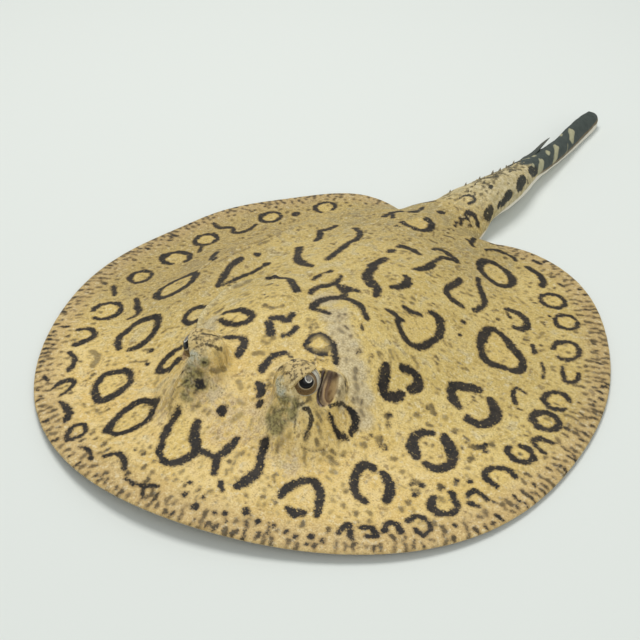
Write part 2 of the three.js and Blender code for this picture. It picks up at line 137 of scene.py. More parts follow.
def back(x, y, rho):
    middle = fin_sheet(np.minimum(np.abs(y) / outline(np.where(y < 0, 0.0, np.pi)), 1))
    above = np.maximum(back_z(y) - middle, 0)
    wide = body_w(y) * np.where(x < 0, 1 + 0.05 * smooth(-60, 20, y), 1)
    body = above * np.exp(-((np.abs(x) / wide) ** BODY_ROUND))
    shoulder = shoulder_h(y) * np.exp(-(((x + shoulder_x(y)) / SHOULDER_W) ** 2))
    d = np.hypot((np.abs(x) - MOUND_AT[0]) / MOUND_R[0], (y - MOUND_AT[1]) / MOUND_R[1])
    g = np.hypot((np.abs(x) - GILL_AT[0]) / GILL_R[0], (y - GILL_AT[1]) / GILL_R[1])
    return (underside(x, y, rho) + fin_sheet(rho) + (body + shoulder) * smooth(0, 0.1, 1 - rho)
            + MOUND_H * np.exp(-(d ** 3)) + GILL_H * np.exp(-(g ** 4)))


def disc_rho(x, y):
    return np.minimum(np.hypot(x, y) / outline(np.arctan2(x, -y)), 1)


# ---------------------------------------------------------------- the tail
tail_x, tail_a, tail_b = stations(TAIL_Y, TAIL_X), stations(TAIL_Y, TAIL_A), stations(TAIL_Y, TAIL_B)
tail_full = stations([130, 150, 175, 205, 235, 279], [0.36, 0.46, 0.62, 0.8, 0.95, 1.0])
tail_roll, tail_low = stations(TAIL_Y, TAIL_ROLL), stations(TAIL_Y, TAIL_LOW)


def tail_section(y):
    y = np.asarray(y, float)
    end = np.sqrt(np.clip((TAIL_END - y) / 7, 0, 1))
    a, b, roll = tail_a(y) * end, tail_b(y) * end, tail_roll(y) * RAD
    deep = np.hypot(tail_a(y) * np.sin(roll), tail_b(y) * np.cos(roll))
    slope = (tail_x(y + 1) - tail_x(y - 1)) / 2
    return tail_x(y), tail_low(y) + deep, a, b, roll, slope, 1 + 0.7 * smooth(212, 245, y)


def tail_point(y, f, g):
    """A point of a cross section: f from 0 on the right flank over the back to 1 on the left, g +1 above and -1 below."""
    x0, z0, a, b, roll, slope, pinch = tail_section(y)
    c, v = -np.cos(np.pi * f), np.sin(np.pi * f)
    full = np.where((g < 0) & (c > 0), float(tail_full(y)), 1.0)    # fuller below on the left
    u, w = a * np.sign(c) * np.abs(c) ** (pinch * full), g * b * v
    across = u * np.cos(roll) - w * np.sin(roll)
    k = np.arctan(slope)
    return np.stack([x0 + across * np.cos(k), y - across * np.sin(k), z0 + u * np.sin(roll) + w * np.cos(roll)], -1)


# ---------------------------------------------------------------- the whole skin
OUTSIDE, PORT = 1136, 64                 # steps round the free margin and across the tail root
TOP_STEP = [(0.035, 16), (0.08, 8), (0.19, 4), (0.42, 2), (1.0, 1)]
LOW_STEP = [(0.30, 16), (0.55, 8), (0.86, 4), (0.965, 2), (1.0, 1)]
EDGE = [0.9905, 0.9935, 0.996, 0.998, 0.9993]


def ring_list(step_at, span):
    """Rings from the middle to the margin as (share of the radius, step round); the spacing follows the step."""
    rings, t = [], 0.0
    while True:
        s = next(s for lim, s in step_at if t < lim)
        t += span * (1.0 if s == 1 else s * 0.75)
        if t >= 0.988:
            break
        rings.append((t, s))
    return rings + [(e, 1) for e in EDGE]


def build_skin():
    """Vertices, triangles, the part each vertex belongs to (0 back, 1 belly, 2 tail) and its place on the marking map."""
    n = OUTSIDE + PORT
    i = np.arange(n)
    th = (NOTCH_LEFT + (NOTCH_RIGHT - NOTCH_LEFT) * np.minimum(i, OUTSIDE) / OUTSIDE) * RAD
    r = outline(th)
    corner = lambda deg: np.array([outline(deg * RAD) * np.sin(deg * RAD), -outline(deg * RAD) * np.cos(deg * RAD)])
    left, right = corner(NOTCH_LEFT), corner(NOTCH_RIGHT)
    port = i > OUTSIDE
    f = np.where(port, (i - OUTSIDE) / PORT, 0.0)
    u = (1 - np.cos(np.pi * f)) / 2
    rim = np.where(port[:, None], right + (left - right) * u[:, None], np.stack([r * np.sin(th), -r * np.cos(th)], -1))
    zl, zr = lift(NOTCH_LEFT * RAD) + RIM / 2, lift(NOTCH_RIGHT * RAD) + RIM / 2
    zc = zr + (zl - zr) * f
    root_top = zc + (ROOT_TOP - zc) * np.maximum(np.sin(np.pi * f), 0) ** (1.9 - 0.6 * f)
    root_low = zc + (0.5 - zc) * np.maximum(np.sin(np.pi * f), 0) ** 0.5
    side = 4 * (f - 0.5) ** 2

    def at(idx, t, up):
        x, y = rim[idx, 0] * t, rim[idx, 1] * t
        p = port[idx]
        a = np.arctan2(x, -y)
        rho = np.where(p, np.minimum(np.hypot(x, y) / (outline(a) * (1 + 0.5 * np.sin(np.pi * f[idx]) ** 2 * smooth(0.25, 0.95, t))), 1), t)
        z = back(x, y, rho) if up else underside(x, y, rho)
        s = smooth(0.72, 1, t) ** (1 / (1.03 - side[idx]))
        z = np.where(p, z + ((root_top if up else root_low)[idx] - z) * s, z)
        if t > 0.9905:                   # the margin is rounded
            mid = lift(a) + RIM / 2
            z = np.where(p, z, mid + (z - mid) * np.sqrt(max(1 - ((t - 0.9905) / 0.0095) ** 2, 0)))
        return np.stack([x, y, z], -1)

    pos, kind, tris, count = [], [], [], 0

    def add(p, k):
        nonlocal count
        pos.append(p)
        kind.append(np.full(len(p), k))
        count += len(p)
        return np.arange(count - len(p), count)

    top_c = add(np.array([[0, 0, float(back(0.0, 0.0, 0.0))]]), 0)[0]
    low_c = add(np.array([[0, 0, 0.0]]), 1)[0]
    mid = lift(np.arctan2(rim[:, 0], -rim[:, 1])) + RIM / 2
    rim_top = add(np.column_stack([rim, np.where(port, root_top, mid)]), 0)
    rim_low = rim_top.copy()
    rim_low[port] = add(np.column_stack([rim, root_low])[port], 1)

    def cover(rings, up, centre, edge):
        def face(a, b, c):
            tris.append(np.stack([a, c, b] if up else [a, b, c], -1))

        ids, step = None, 0
        for t, s in rings + [(1.0, 1)]:
            now = edge if t == 1.0 else add(at(i[::s], t, up), 0 if up else 1)
            nxt = np.roll(now, -1)
            if ids is None:
                face(np.full(len(now), centre), now, nxt)
            elif s == step:
                a, b, c, d = ids, np.roll(ids, -1), nxt, now
                k = np.arange(len(a)) % 2 == 1
                face(np.where(k, a, a), np.where(k, d, d), np.where(k, c, b))
                face(np.where(k, a, b), np.where(k, c, d), np.where(k, b, c))
            else:
                a, b = ids, np.roll(ids, -1)
                c, d, e = now[::2], now[1::2], np.roll(now[::2], -1)
                face(a, c, d), face(a, d, b), face(b, d, e)
            ids, step = now, s

    cover(ring_list(TOP_STEP, 0.0049), True, top_c, rim_top)
    cover(ring_list(LOW_STEP, 0.0049), False, low_c, rim_low)
    # the tail
    m = np.arange(PORT + 1)
    upper = np.concatenate([[rim_top[OUTSIDE]], rim_top[OUTSIDE + 1:], [rim_top[0]]])
    lower = rim_low[OUTSIDE + 1:][::-1]
    ring = np.concatenate([upper, lower])
    fu, fl = m / PORT, (np.arange(1, PORT) / PORT)[::-1]
    ff = np.concatenate([fu, fl])
    gg = np.concatenate([np.ones(PORT + 1), -np.ones(PORT - 1)])
    zz = zr + (zl - zr) * ff
    sn = np.maximum(np.sin(np.pi * ff), 0)
    edge_z = np.where(gg > 0, zz + (ROOT_TOP - zz) * sn ** (1.9 - 0.6 * ff), zz + (0.5 - zz) * sn ** 0.5)
    uu = (1 - np.cos(np.pi * ff)) / 2
    start = np.column_stack([right + (left - right) * uu[:, None], edge_z])
    ys = np.concatenate([np.arange(117.2, 270, 0.62), 270 + 12.6 * np.sin(np.linspace(0, np.pi / 2, 26))])
    tail_u, tail_v = [], []
    for y in ys:
        p = tail_point(max(y, 130.0), ff, gg)
        if y < 130:
            k = (y - 116) / 14
            e = 1 - (1 - k) ** 3
            p = np.column_stack([mix(start[:, 0], p[:, 0], e), mix(start[:, 1], p[:, 1], k), mix(start[:, 2], p[:, 2], smooth(118, 132, y))])
        nxt = add(p, 2)
        half = np.linalg.norm(np.diff(p[:PORT + 1], axis=0), axis=1)
        arc = np.concatenate([[0], np.cumsum(half)])
        arc = arc - np.interp(PORT / 2, m, arc)
        low = np.linalg.norm(np.diff(np.concatenate([p[PORT:], p[:1]]), axis=0), axis=1)
        arc_low = arc[-1] + np.cumsum(low)[:-1]
        tail_u.append(np.concatenate([arc, arc_low])), tail_v.append(np.full(len(ff), y))
        a, b, c, d = ring, np.roll(ring, -1), np.roll(nxt, -1), nxt
        tris.append(np.stack([a, b, c], -1)), tris.append(np.stack([a, c, d], -1))
        ring = nxt
    x0, z0 = tail_section(TAIL_END)[:2]
    tip = add(np.array([[float(x0), TAIL_END, float(z0)]]), 2)[0]
    tris.append(np.stack([ring, np.roll(ring, -1), np.full(len(ring), tip)], -1))
    V, K, T = np.concatenate(pos), np.concatenate(kind), np.concatenate(tris)
    # place on the marking map: the back as seen from above, the tail unrolled from its middle line
    M = V[:, :2].copy()
    tu, tv = np.concatenate(tail_u), np.concatenate(tail_v)
    first = np.nonzero(K == 2)[0][0]
    s = smooth(116, 136, tv)
    tx = tail_x(np.maximum(tv, 130.0)) * smooth(100, 130, tv)
    M[first:first + len(tu), 0] = mix(V[first:first + len(tu), 0], tx + tu, s)
    M[first:first + len(tu), 1] = mix(V[first:first + len(tu), 1], tv, s)
    M[-1] = [M[-2, 0], TAIL_END]
    return V, T, K, M


# ---------------------------------------------------------------- finer triangles where they are wanted
def split_edges(V, T, K, M, want):
    """Splits each edge for which want(a, b) holds at its middle; the triangles stay closed. Works on the flat parameters V, K and M."""
    E = np.sort(np.concatenate([T[:, [0, 1]], T[:, [1, 2]], T[:, [2, 0]]]), axis=1)
    key = E[:, 0].astype(np.int64) * len(V) + E[:, 1]
    uniq, inv = np.unique(key, return_inverse=True)
    a, b = uniq // len(V), uniq % len(V)
    cut = want(a, b)
    new = np.full(len(uniq), -1)
    new[cut] = len(V) + np.arange(cut.sum())
    a, b = a[cut], b[cut]
    V2 = np.concatenate([V, (V[a] + V[b]) / 2])
    M2 = np.concatenate([M, (M[a] + M[b]) / 2])
    K2 = np.concatenate([K, np.where(K[a] == K[b], K[a], np.minimum(K[a], K[b]))])
    n = len(T)
    e = new[inv].reshape(3, n).T         # middle of sides 01, 12, 20
    c = (e >= 0).sum(1)
    out = [T[c == 0]]
    t, m = T[c == 3], e[c == 3]
    out += [np.stack(q, -1) for q in ((t[:, 0], m[:, 0], m[:, 2]), (m[:, 0], t[:, 1], m[:, 1]), (m[:, 2], m[:, 1], t[:, 2]), (m[:, 0], m[:, 1], m[:, 2]))]
    for k in range(3):                   # turned so that side 01 is the one cut, or the one left whole
        t, m = np.roll(T, -k, axis=1), np.roll(e, -k, axis=1)
        s = (c == 1) & (m[:, 0] >= 0)
        out += [np.stack((t[s, 0], m[s, 0], t[s, 2]), -1), np.stack((m[s, 0], t[s, 1], t[s, 2]), -1)]
        s = (c == 2) & (m[:, 0] < 0)
        out += [np.stack((t[s, 0], t[s, 1], m[s, 1]), -1), np.stack((t[s, 0], m[s, 1], m[s, 2]), -1), np.stack((m[s, 2], m[s, 1], t[s, 2]), -1)]
    return V2, np.concatenate(out), K2, M2


# ---------------------------------------------------------------- the head round the eyes
EYE_BACK = 0.8                           # the eyeball's surface inside the socket
LID = 0.9                                # skin over the eyeball
OPEN_ANGLE = 65.0                        # half angle of the eye's opening
PIT_AT = np.array([29.5, -61.2, 30.6])   # spiracle
PIT_OUT = np.array([0.74, 0.06, 0.67])   # way out of it
PIT_LONG = np.array([0.46, -0.87, -0.14])  # its length, down and forward
PIT_R = (4.1, 11.6, 6.4)                  # half width, half length, depth
SLIT_R = (0.8, 7.6, 10.5)
HOOD_AT, HOOD_R = np.array([27.7, -62.5, 25.0]), np.array([6.9, 12.0, 7.5])
BALL_AT, BALL_R = np.array([20.6, -70.9, 32.6]), 8.5      # the swelling that carries the eye
LID_WAY, LID_EDGE = np.array([-0.697, 0.148, 0.702]), 1.45   # the upper lid hangs beyond this plane
LID_LINE = np.array([0.596, 0.666, 0.451])
REAR = np.array([0.514, 0.858, 0.0])
ORIGIN = np.array([10.0, -67.5, 3.0])


def frame_of(a, b):
    a = a / np.linalg.norm(a)
    b = b - a * (a @ b)
    b = b / np.linalg.norm(b)
    return a, b, np.cross(a, b)


def smin(a, b, k):
    h = np.clip(0.5 + 0.5 * (b - a) / k, 0, 1)
    return mix(b, a, h) - k * h * (1 - h)


TABLE_X, TABLE_Y, TABLE_STEP = (-6.0, 62.0), (-106.0, -28.0), 0.25


def head_table(m):
    """Heights and slopes of the back on a fine grid, seen as a left side."""
    xs, ys = np.arange(*TABLE_X, TABLE_STEP), np.arange(*TABLE_Y, TABLE_STEP)
    X, Y = np.meshgrid(xs, ys, indexing="ij")
    Z = back(X * m, Y, disc_rho(X * m, Y))
    gx, gy = np.gradient(Z, TABLE_STEP)
    return Z, 1 / np.sqrt(1 + gx * gx + gy * gy)


def look_up(grid, x, y):
    u = np.clip((x - TABLE_X[0]) / TABLE_STEP, 0, grid[0].shape[0] - 1.001)
    v = np.clip((y - TABLE_Y[0]) / TABLE_STEP, 0, grid[0].shape[1] - 1.001)
    i, j = u.astype(int), v.astype(int)
    u, v = u - i, v - j
    return [(g[i, j] * (1 - u) + g[i + 1, j] * u) * (1 - v) + (g[i, j + 1] * (1 - u) + g[i + 1, j + 1] * u) * v for g in grid]


def head_field(p, grid):
    """Signed distance, roughly, of the head's skin on the left side; p is an array of points."""
    zh, flat = look_up(grid, p[:, 0], p[:, 1])
    f = (p[:, 2] - zh) * flat
    q = p - EYE_AT
    r = np.linalg.norm(q, axis=1) + 1e-9
    c = q @ EYE_LOOK / r
    # thicker brow over the top of the eyeball
    up = q[:, 2] / r
    lid = EYE_R + LID + 0.5 * smooth(0.2, 0.9, up) * smooth(0.9, 0.3, c) - 0.6 * smooth(0.0, 0.7, q @ REAR / r)
    h = (p - HOOD_AT) / HOOD_R
    k = np.linalg.norm(h, axis=1) + 1e-9
    f = smin(f, k * (k - 1) / (np.linalg.norm(h / HOOD_R, axis=1) + 1e-9), 3.5)
    b = p - BALL_AT
    k = np.linalg.norm(b, axis=1) + 1e-9
    f = smin(f, k - BALL_R, 3.2 + 1.4 * smooth(-0.8, 1.0, (b @ np.array([-0.83, 0.55, 0.0])) / k))
    f = smin(f, r - lid, 1.6 + 4.5 * smooth(0.1, -0.8, c))
    ang = np.degrees(np.arccos(np.clip(c, -1, 1)))
    return f, r, ang, q


def eye_open(q, r):
    """Half angle of the opening in each direction round the eye's axis."""
    w = q - np.outer(q @ EYE_LOOK, EYE_LOOK)
    w /= np.linalg.norm(w, axis=1)[:, None] + 1e-9
    upv = np.array([0, 0, 1.0]) - EYE_LOOK * EYE_LOOK[2]
    upv /= np.linalg.norm(upv)
    fore = np.cross(upv, EYE_LOOK)       # towards the snout or the tail
    if fore[1] > 0:
        fore = -fore
    u, f = w @ upv, w @ fore
    return OPEN_ANGLE + 2 + 22 * smooth(0.0, 0.95, 0.5 * u - 0.86 * f) + 9 * smooth(0.3, 0.95, -u)


def skin_field(p, grid):
    """Signed distance, roughly, of the head's skin with the eye's opening and the spiracle."""
    f, r, ang, q = head_field(p, grid)
    opening = eye_open(q, r)
    # the window in front of the eyeball, down to just under its surface
    cone = (ang - opening) * RAD * r
    window = np.maximum(cone, (EYE_R - EYE_BACK) - r)
    droop = q @ LID_WAY - LID_EDGE + 0.03 * np.minimum(q @ LID_LINE, 0) ** 2
    window = -smin(-window, -droop, 0.35)
    f = -smin(-f, window, 0.55)
    s = pit_place(p)
    for size, soft in ((PIT_R, 1.2), (SLIT_R, 0.5)):
        e = s / np.array(size)
        k = np.linalg.norm(e, axis=1) + 1e-9
        f = -smin(-f, k * (k - 1) / (np.linalg.norm(e / np.array(size), axis=1) + 1e-9), soft)
    return f


def pit_place(p):
    """Place across, along and out of the spiracle."""
    out, length, across = frame_of(PIT_OUT, PIT_LONG)
    d = p - PIT_AT
    return np.stack([d @ across, d @ length, d @ out], -1)


def shape_head(V, idx, m, grid):
    """Moves the vertices idx along rays from a point inside the head onto the skin field; m is +1 left, -1 right."""
    p = V[idx] * np.array([m, 1, 1.0])
    d = p - ORIGIN
    far = np.linalg.norm(d, axis=1)
    d /= far[:, None]
    n = 52
    lo, hi = far - 13.0, far + 10.0
    prev_f = skin_field(ORIGIN + d * hi[:, None], grid)
    done = np.zeros(len(idx), bool)
    a_s, b_s = far.copy(), far.copy()
    for k in range(1, n + 1):
        s = hi + (lo - hi) * k / n
        todo = np.nonzero(~done)[0]
        if not len(todo):
            break
        f = skin_field(ORIGIN + d[todo] * s[todo, None], grid)
        hit = (f <= 0) & (prev_f[todo] > 0)
        h = todo[hit]
        a_s[h], b_s[h] = s[h], (hi + (lo - hi) * (k - 1) / n)[h]
        done[h] = True
        prev_f[todo] = f
    for _ in range(13):
        mid = (a_s + b_s) / 2
        inside = skin_field(ORIGIN + d * mid[:, None], grid) <= 0
        a_s, b_s = np.where(inside, mid, a_s), np.where(inside, b_s, mid)
    out = ORIGIN + d * ((a_s + b_s) / 2)[:, None]
    out[~done] = p[~done]
    return out * np.array([m, 1, 1.0])


def near_head(V):
    """Distance on the floor plan from the middle between an eye and its spiracle."""
    return np.hypot(np.abs(V[:, 0]) - 26.5, (V[:, 1] + 68) * 0.9)


def build_head(V, T, K, M):
    """Refines the skin round the eyes and spiracles, and shapes it there. V keeps the plain shape and W gets the full one."""
    grids = {m: head_table(m) for m in (1, -1)}
    W = V.copy()
    for reach, size in [(20, 0.62), (17, 0.45), (14.5, 0.36), (13, 0.30)]:
        near = (K == 0) & (near_head(V) < reach)
        V, T, K, M = split_edges(V, T, K, M, lambda a, b: near[a] & near[b] & (np.linalg.norm(W[a] - W[b], axis=1) > size))
        top = (K == 0) & (near_head(V) < 24)
        V[top, 2] = back(V[top, 0], V[top, 1], disc_rho(V[top, 0], V[top, 1]))
        W = V.copy()
        for m in (1, -1):
            idx = np.nonzero(top & (V[:, 0] * m > 1.0) & (near_head(V) < 21))[0]
            W[idx] = shape_head(V, idx, m, grids[m])
    return V, W, T, K, M


def relax(P, T, weight, rounds):
    """Evens out the surface where weight is above 0."""
    E = np.sort(np.concatenate([T[:, [0, 1]], T[:, [1, 2]], T[:, [2, 0]]]), axis=1)
    E = E[(weight[E[:, 0]] > 0) | (weight[E[:, 1]] > 0)]
    key = np.unique(E[:, 0].astype(np.int64) * len(P) + E[:, 1])
    a, b = key // len(P), key % len(P)
    used = np.unique(np.concatenate([a, b]))
    new = np.full(len(P), -1)
    new[used] = np.arange(len(used))
    a, b = new[a], new[b]
    q, w, n = P[used].copy(), weight[used], len(used)
    deg = np.bincount(a, minlength=n) + np.bincount(b, minlength=n)
    for i in range(rounds):
        for k in range(3):
            s = np.bincount(a, q[b, k], n) + np.bincount(b, q[a, k], n)
            q[:, k] += w * 0.8 * (s / deg - q[:, k])
    out = P.copy()
    out[used] = q
    return out


def ease_root(P, T, K):
    """Blends the tail root into the trunk and the fins."""
    x, y = P[:, 0], P[:, 1]
    th = np.degrees(np.arctan2(x, -y))
    r = np.hypot(x, y)
    side = np.minimum(np.abs(wrap((th - NOTCH_LEFT) * RAD)), np.abs(wrap((th - NOTCH_RIGHT) * RAD))) * r
    w = np.where(K == 0, smooth(13, 3, side) * smooth(12, 40, r), 0)
    w = np.maximum(w, np.where(K == 0, smooth(96, 108, y) * (np.abs(wrap(th * RAD - np.pi)) < 17 * RAD), 0))
    w = np.maximum(w, np.where(K == 2, smooth(150, 138, y), 0))
    w = np.maximum(w, np.where((K == 1) & (y > 104) & (np.abs(x) < 34), 0.6, 0))
    rho = r / outline(th * RAD)
    free = (rho > 0.985) & ((th > 0) & (th < NOTCH_LEFT + 0.05) | (th < 0) & (th > NOTCH_RIGHT - 0.05)) & (K != 2)
    w = np.where(free, 0, w)
    return relax(P, T, w, 90)


# ---------------------------------------------------------------- markings, drawn on the marking map
GRID = 0.4                               # mm
MAP_U, MAP_V = (-142.0, 134.0), (-138.0, 300.0)


def curve(flat, closed):
    """A smooth line through the points of a mark."""
    p = np.array(flat, float).reshape(-1, 2)
    if len(p) < 3:
        return p
    n = len(p)
    i = np.arange(n if closed else n - 1)
    at = (lambda k: p[k % n]) if closed else (lambda k: p[np.clip(k, 0, n - 1)])
    p0, p1, p2, p3 = at(i - 1), at(i), at(i + 1), at(i + 2)
    t = np.linspace(0, 1, 4, endpoint=False)[None, :, None]
    p0, p1, p2, p3 = (q[:, None] for q in (p0, p1, p2, p3))
    out = 0.5 * (2 * p1 + (p2 - p0) * t + (2 * p0 - 5 * p1 + 4 * p2 - p3) * t ** 2 + (3 * p1 - p0 - 3 * p2 + p3) * t ** 3)
    return np.concatenate([out.reshape(-1, 2), p[:1] if closed else p[-1:]])


class Sheet:
    """Rasters over the marking map."""

    def __init__(self):
        self.nu = int((MAP_U[1] - MAP_U[0]) / GRID) + 1
        self.nv = int((MAP_V[1] - MAP_V[0]) / GRID) + 1
        self.us, self.vs = MAP_U[0] + GRID * np.arange(self.nu), MAP_V[0] + GRID * np.arange(self.nv)
        self.near = np.full((self.nu, self.nv), 9.0)        # distance to the nearest mark's edge
        self.deep = np.full((self.nu, self.nv), 1.0)        # how dark that mark is
        self.within = np.zeros((self.nu, self.nv))          # 1 inside a ring

    def window(self, p, reach):
        i0, j0 = [int(max((a - lo - reach) / GRID, 0)) for a, lo in zip(p.min(0), (MAP_U[0], MAP_V[0]))]
        i1, j1 = [int(min((a - lo + reach) / GRID + 2, n)) for a, lo, n in zip(p.max(0), (MAP_U[0], MAP_V[0]), (self.nu, self.nv))]
        if i1 <= i0 or j1 <= j0:
            return None
        return (slice(i0, i1), slice(j0, j1)), self.us[i0:i1, None], self.vs[None, j0:j1]

    def line(self, p, widths, strength, reach=6.0):
        w = self.window(p, reach)
        if w is None:
            return
        box, u, v = w
        best = np.full(np.broadcast(u, v).shape, 99.0)
        if len(p) == 1:
            best = np.hypot(u - p[0, 0], v - p[0, 1]) - widths[0] / 2
        for k in range(len(p) - 1):
            a, d = p[k], p[k + 1] - p[k]
            t = np.clip(((u - a[0]) * d[0] + (v - a[1]) * d[1]) / (d @ d + 1e-9), 0, 1)
            e = np.hypot(u - a[0] - t * d[0], v - a[1] - t * d[1]) - (widths[k] + (widths[k + 1] - widths[k]) * t) / 2
            best = np.minimum(best, e)
        old = self.near[box]
        take = best < old
        self.near[box] = np.where(take, best, old)
        self.deep[box] = np.where(take, strength, self.deep[box])

    def fill(self, p):
        w = self.window(p, 1.0)
        if w is None:
            return
        box, u, v = w
        inside = np.zeros(np.broadcast(u, v).shape, bool)
        for a, b in zip(p, np.roll(p, -1, axis=0)):
            if a[1] == b[1]:
                continue
            inside ^= ((v < a[1]) != (v < b[1])) & (u < a[0] + (v - a[1]) * (b[0] - a[0]) / (b[1] - a[1]))
        self.within[box] = np.maximum(self.within[box], inside)

    def sample(self, g, M):
        u = np.clip((M[:, 0] - MAP_U[0]) / GRID, 0, self.nu - 1.001)
        v = np.clip((M[:, 1] - MAP_V[0]) / GRID, 0, self.nv - 1.001)
        i, j = u.astype(int), v.astype(int)
        u, v = u - i, v - j
        return (g[i, j] * (1 - u) + g[i + 1, j] * u) * (1 - v) + (g[i, j + 1] * (1 - u) + g[i + 1, j + 1] * u) * v


def blur(g, n):
    for _ in range(n):
        g = (np.roll(g, 1, 0) + 2 * g + np.roll(g, -1, 0)) / 4
        g = (np.roll(g, 1, 1) + 2 * g + np.roll(g, -1, 1)) / 4
    return g


def draw_marks():
    sheet = Sheet()
    rng = np.random.default_rng(41)
    for strength, width, closed, flat in MARKS:
        p = curve(flat, closed)
        if len(flat) > 4:
            width = width * (1.10 + 0.12 * float(smooth(10, 45, p[:, 0].mean()) * smooth(5, -15, p[:, 1].mean())))
        n = len(p)
        w = np.full(n, width)
        if n > 2:
            knots = rng.uniform(0.85, 1.42, max(3, n // 4))
            w = width * np.interp(np.arange(n), np.linspace(0, n - 1, len(knots)), knots)
            if not closed:                               # thinner towards free ends
                k = np.minimum(np.arange(n), n - 1 - np.arange(n)) / 3
                w = w * (0.86 + 0.14 * np.clip(k, 0, 1))
        sheet.line(p, w, strength)
        if n > 8:
            size = np.linalg.norm(p.max(0) - p.min(0))
            if closed or np.linalg.norm(p[0] - p[-1]) < 0.72 * size:
                sheet.fill(p)
    # short dashes round the free margin, pointing outwards
    for ring, (depth, gap, share) in enumerate([(1.9, 3.3, 0.97), (5.6, 3.7, 0.9), (9.6, 4.4, 0.72), (14.0, 5.2, 0.5), (18.5, 6.0, 0.35)]):
        for th in np.arange(-164, 165.5, gap / 2.15):
            if rng.random() > share:
                continue
            a = (th + rng.uniform(-0.5, 0.5)) * RAD
            r = outline(a) - depth + rng.uniform(-0.9, 0.9)
            at = np.array([np.sin(a), -np.cos(a)]) * r
            way = np.array([np.sin(a), -np.cos(a)]) + rng.normal(0, 0.24, 2)
            L, w = rng.uniform(1.2, 3.9) * (1.0, 1.0, 0.8, 0.6, 0.5)[ring], rng.uniform(0.85, 1.75)
            if sheet.sample(sheet.near, at[None])[0] < 1.3:
                continue
            bend = at + np.array([way[1], -way[0]]) * rng.normal(0, 0.35)
            sheet.line(np.array([at - way * L / 2, bend, at + way * L / 2]), [w * rng.uniform(0.7, 1.1), w, w * rng.uniform(0.4, 0.8)], rng.uniform(0.68, 1.0) * (1, 1, 0.95, 0.85, 0.8)[ring], 2.5)
    # clusters of small dots in the ways between the rings
    for _ in range(460):
        a, rr = rng.uniform(-np.pi, np.pi), np.sqrt(rng.uniform(0.03, 0.88))
        at = np.array([np.sin(a), -np.cos(a)]) * outline(a) * rr
        if sheet.sample(sheet.near, at[None])[0] < 2.6:
            continue
        tone = rng.uniform(0.6, 1.0)
        for _ in range(rng.integers(2, 8)):
            q = at + rng.normal(0, 1.5, 2)
            if sheet.sample(sheet.near, q[None])[0] < 0.9:
                continue
            L, w = rng.uniform(0.1, 1.5), rng.uniform(0.65, 1.6)
            way = np.array([np.sin(a), -np.cos(a)]) + rng.normal(0, 0.5, 2)
            sheet.line(np.array([q - way * L / 2, q + way * L / 2]), [w, w * 0.7], tone * rng.uniform(0.6, 1.0), 2.0)
    # finer flecks everywhere, and on the tail
    for _ in range(2300):
        a, rr = rng.uniform(-np.pi, np.pi), np.sqrt(rng.uniform(0.02, 0.9))
        at = np.array([np.sin(a), -np.cos(a)]) * outline(a) * rr
        if sheet.sample(sheet.near, at[None])[0] < 1.6:
            continue
        way = np.array([np.sin(a), -np.cos(a)]) + rng.normal(0, 0.5, 2)
        L, w = rng.uniform(0.1, 1.6), rng.uniform(0.3, 0.7)
        sheet.line(np.array([at - way * L / 2, at + way * L / 2]), [w, w * 0.6], rng.uniform(0.25, 0.6), 2.0)
    for _ in range(330):
        y = rng.uniform(112, 186)
        at = np.array([float(np.interp(y, [110, 130, 186], [3, 6, 18])) + rng.normal(0, 9), y])
        if sheet.sample(sheet.near, at[None])[0] < 1.2:
            continue
        way = rng.normal(0, 1, 2)
        way /= np.hypot(*way)
        L, w = rng.uniform(0.2, 2.4), rng.uniform(0.5, 1.5)
        sheet.line(np.array([at - way * L / 2, at + way * L / 2]), [w, w * 0.6], rng.uniform(0.4, 0.85), 2.0)
    for _ in range(64):                                  # darker along the top of the tail
        y = rng.uniform(142, 190)
        at = np.array([float(np.interp(y, [142, 150, 163, 190], [10, 16.5, 18.5, 21.5])) + rng.normal(0, 2.6), y])
        way = np.array([0.35, 1.0]) + rng.normal(0, 0.4, 2)
        L, w = rng.uniform(0.6, 3.2), rng.uniform(0.7, 1.7)
        sheet.line(np.array([at - way * L / 2, at + way * L / 2]), [w, w * 0.6], rng.uniform(0.6, 1.0), 2.0)
    sheet.within = blur(sheet.within, 3)
    sheet.deep = blur(sheet.deep, 1)
    return sheet
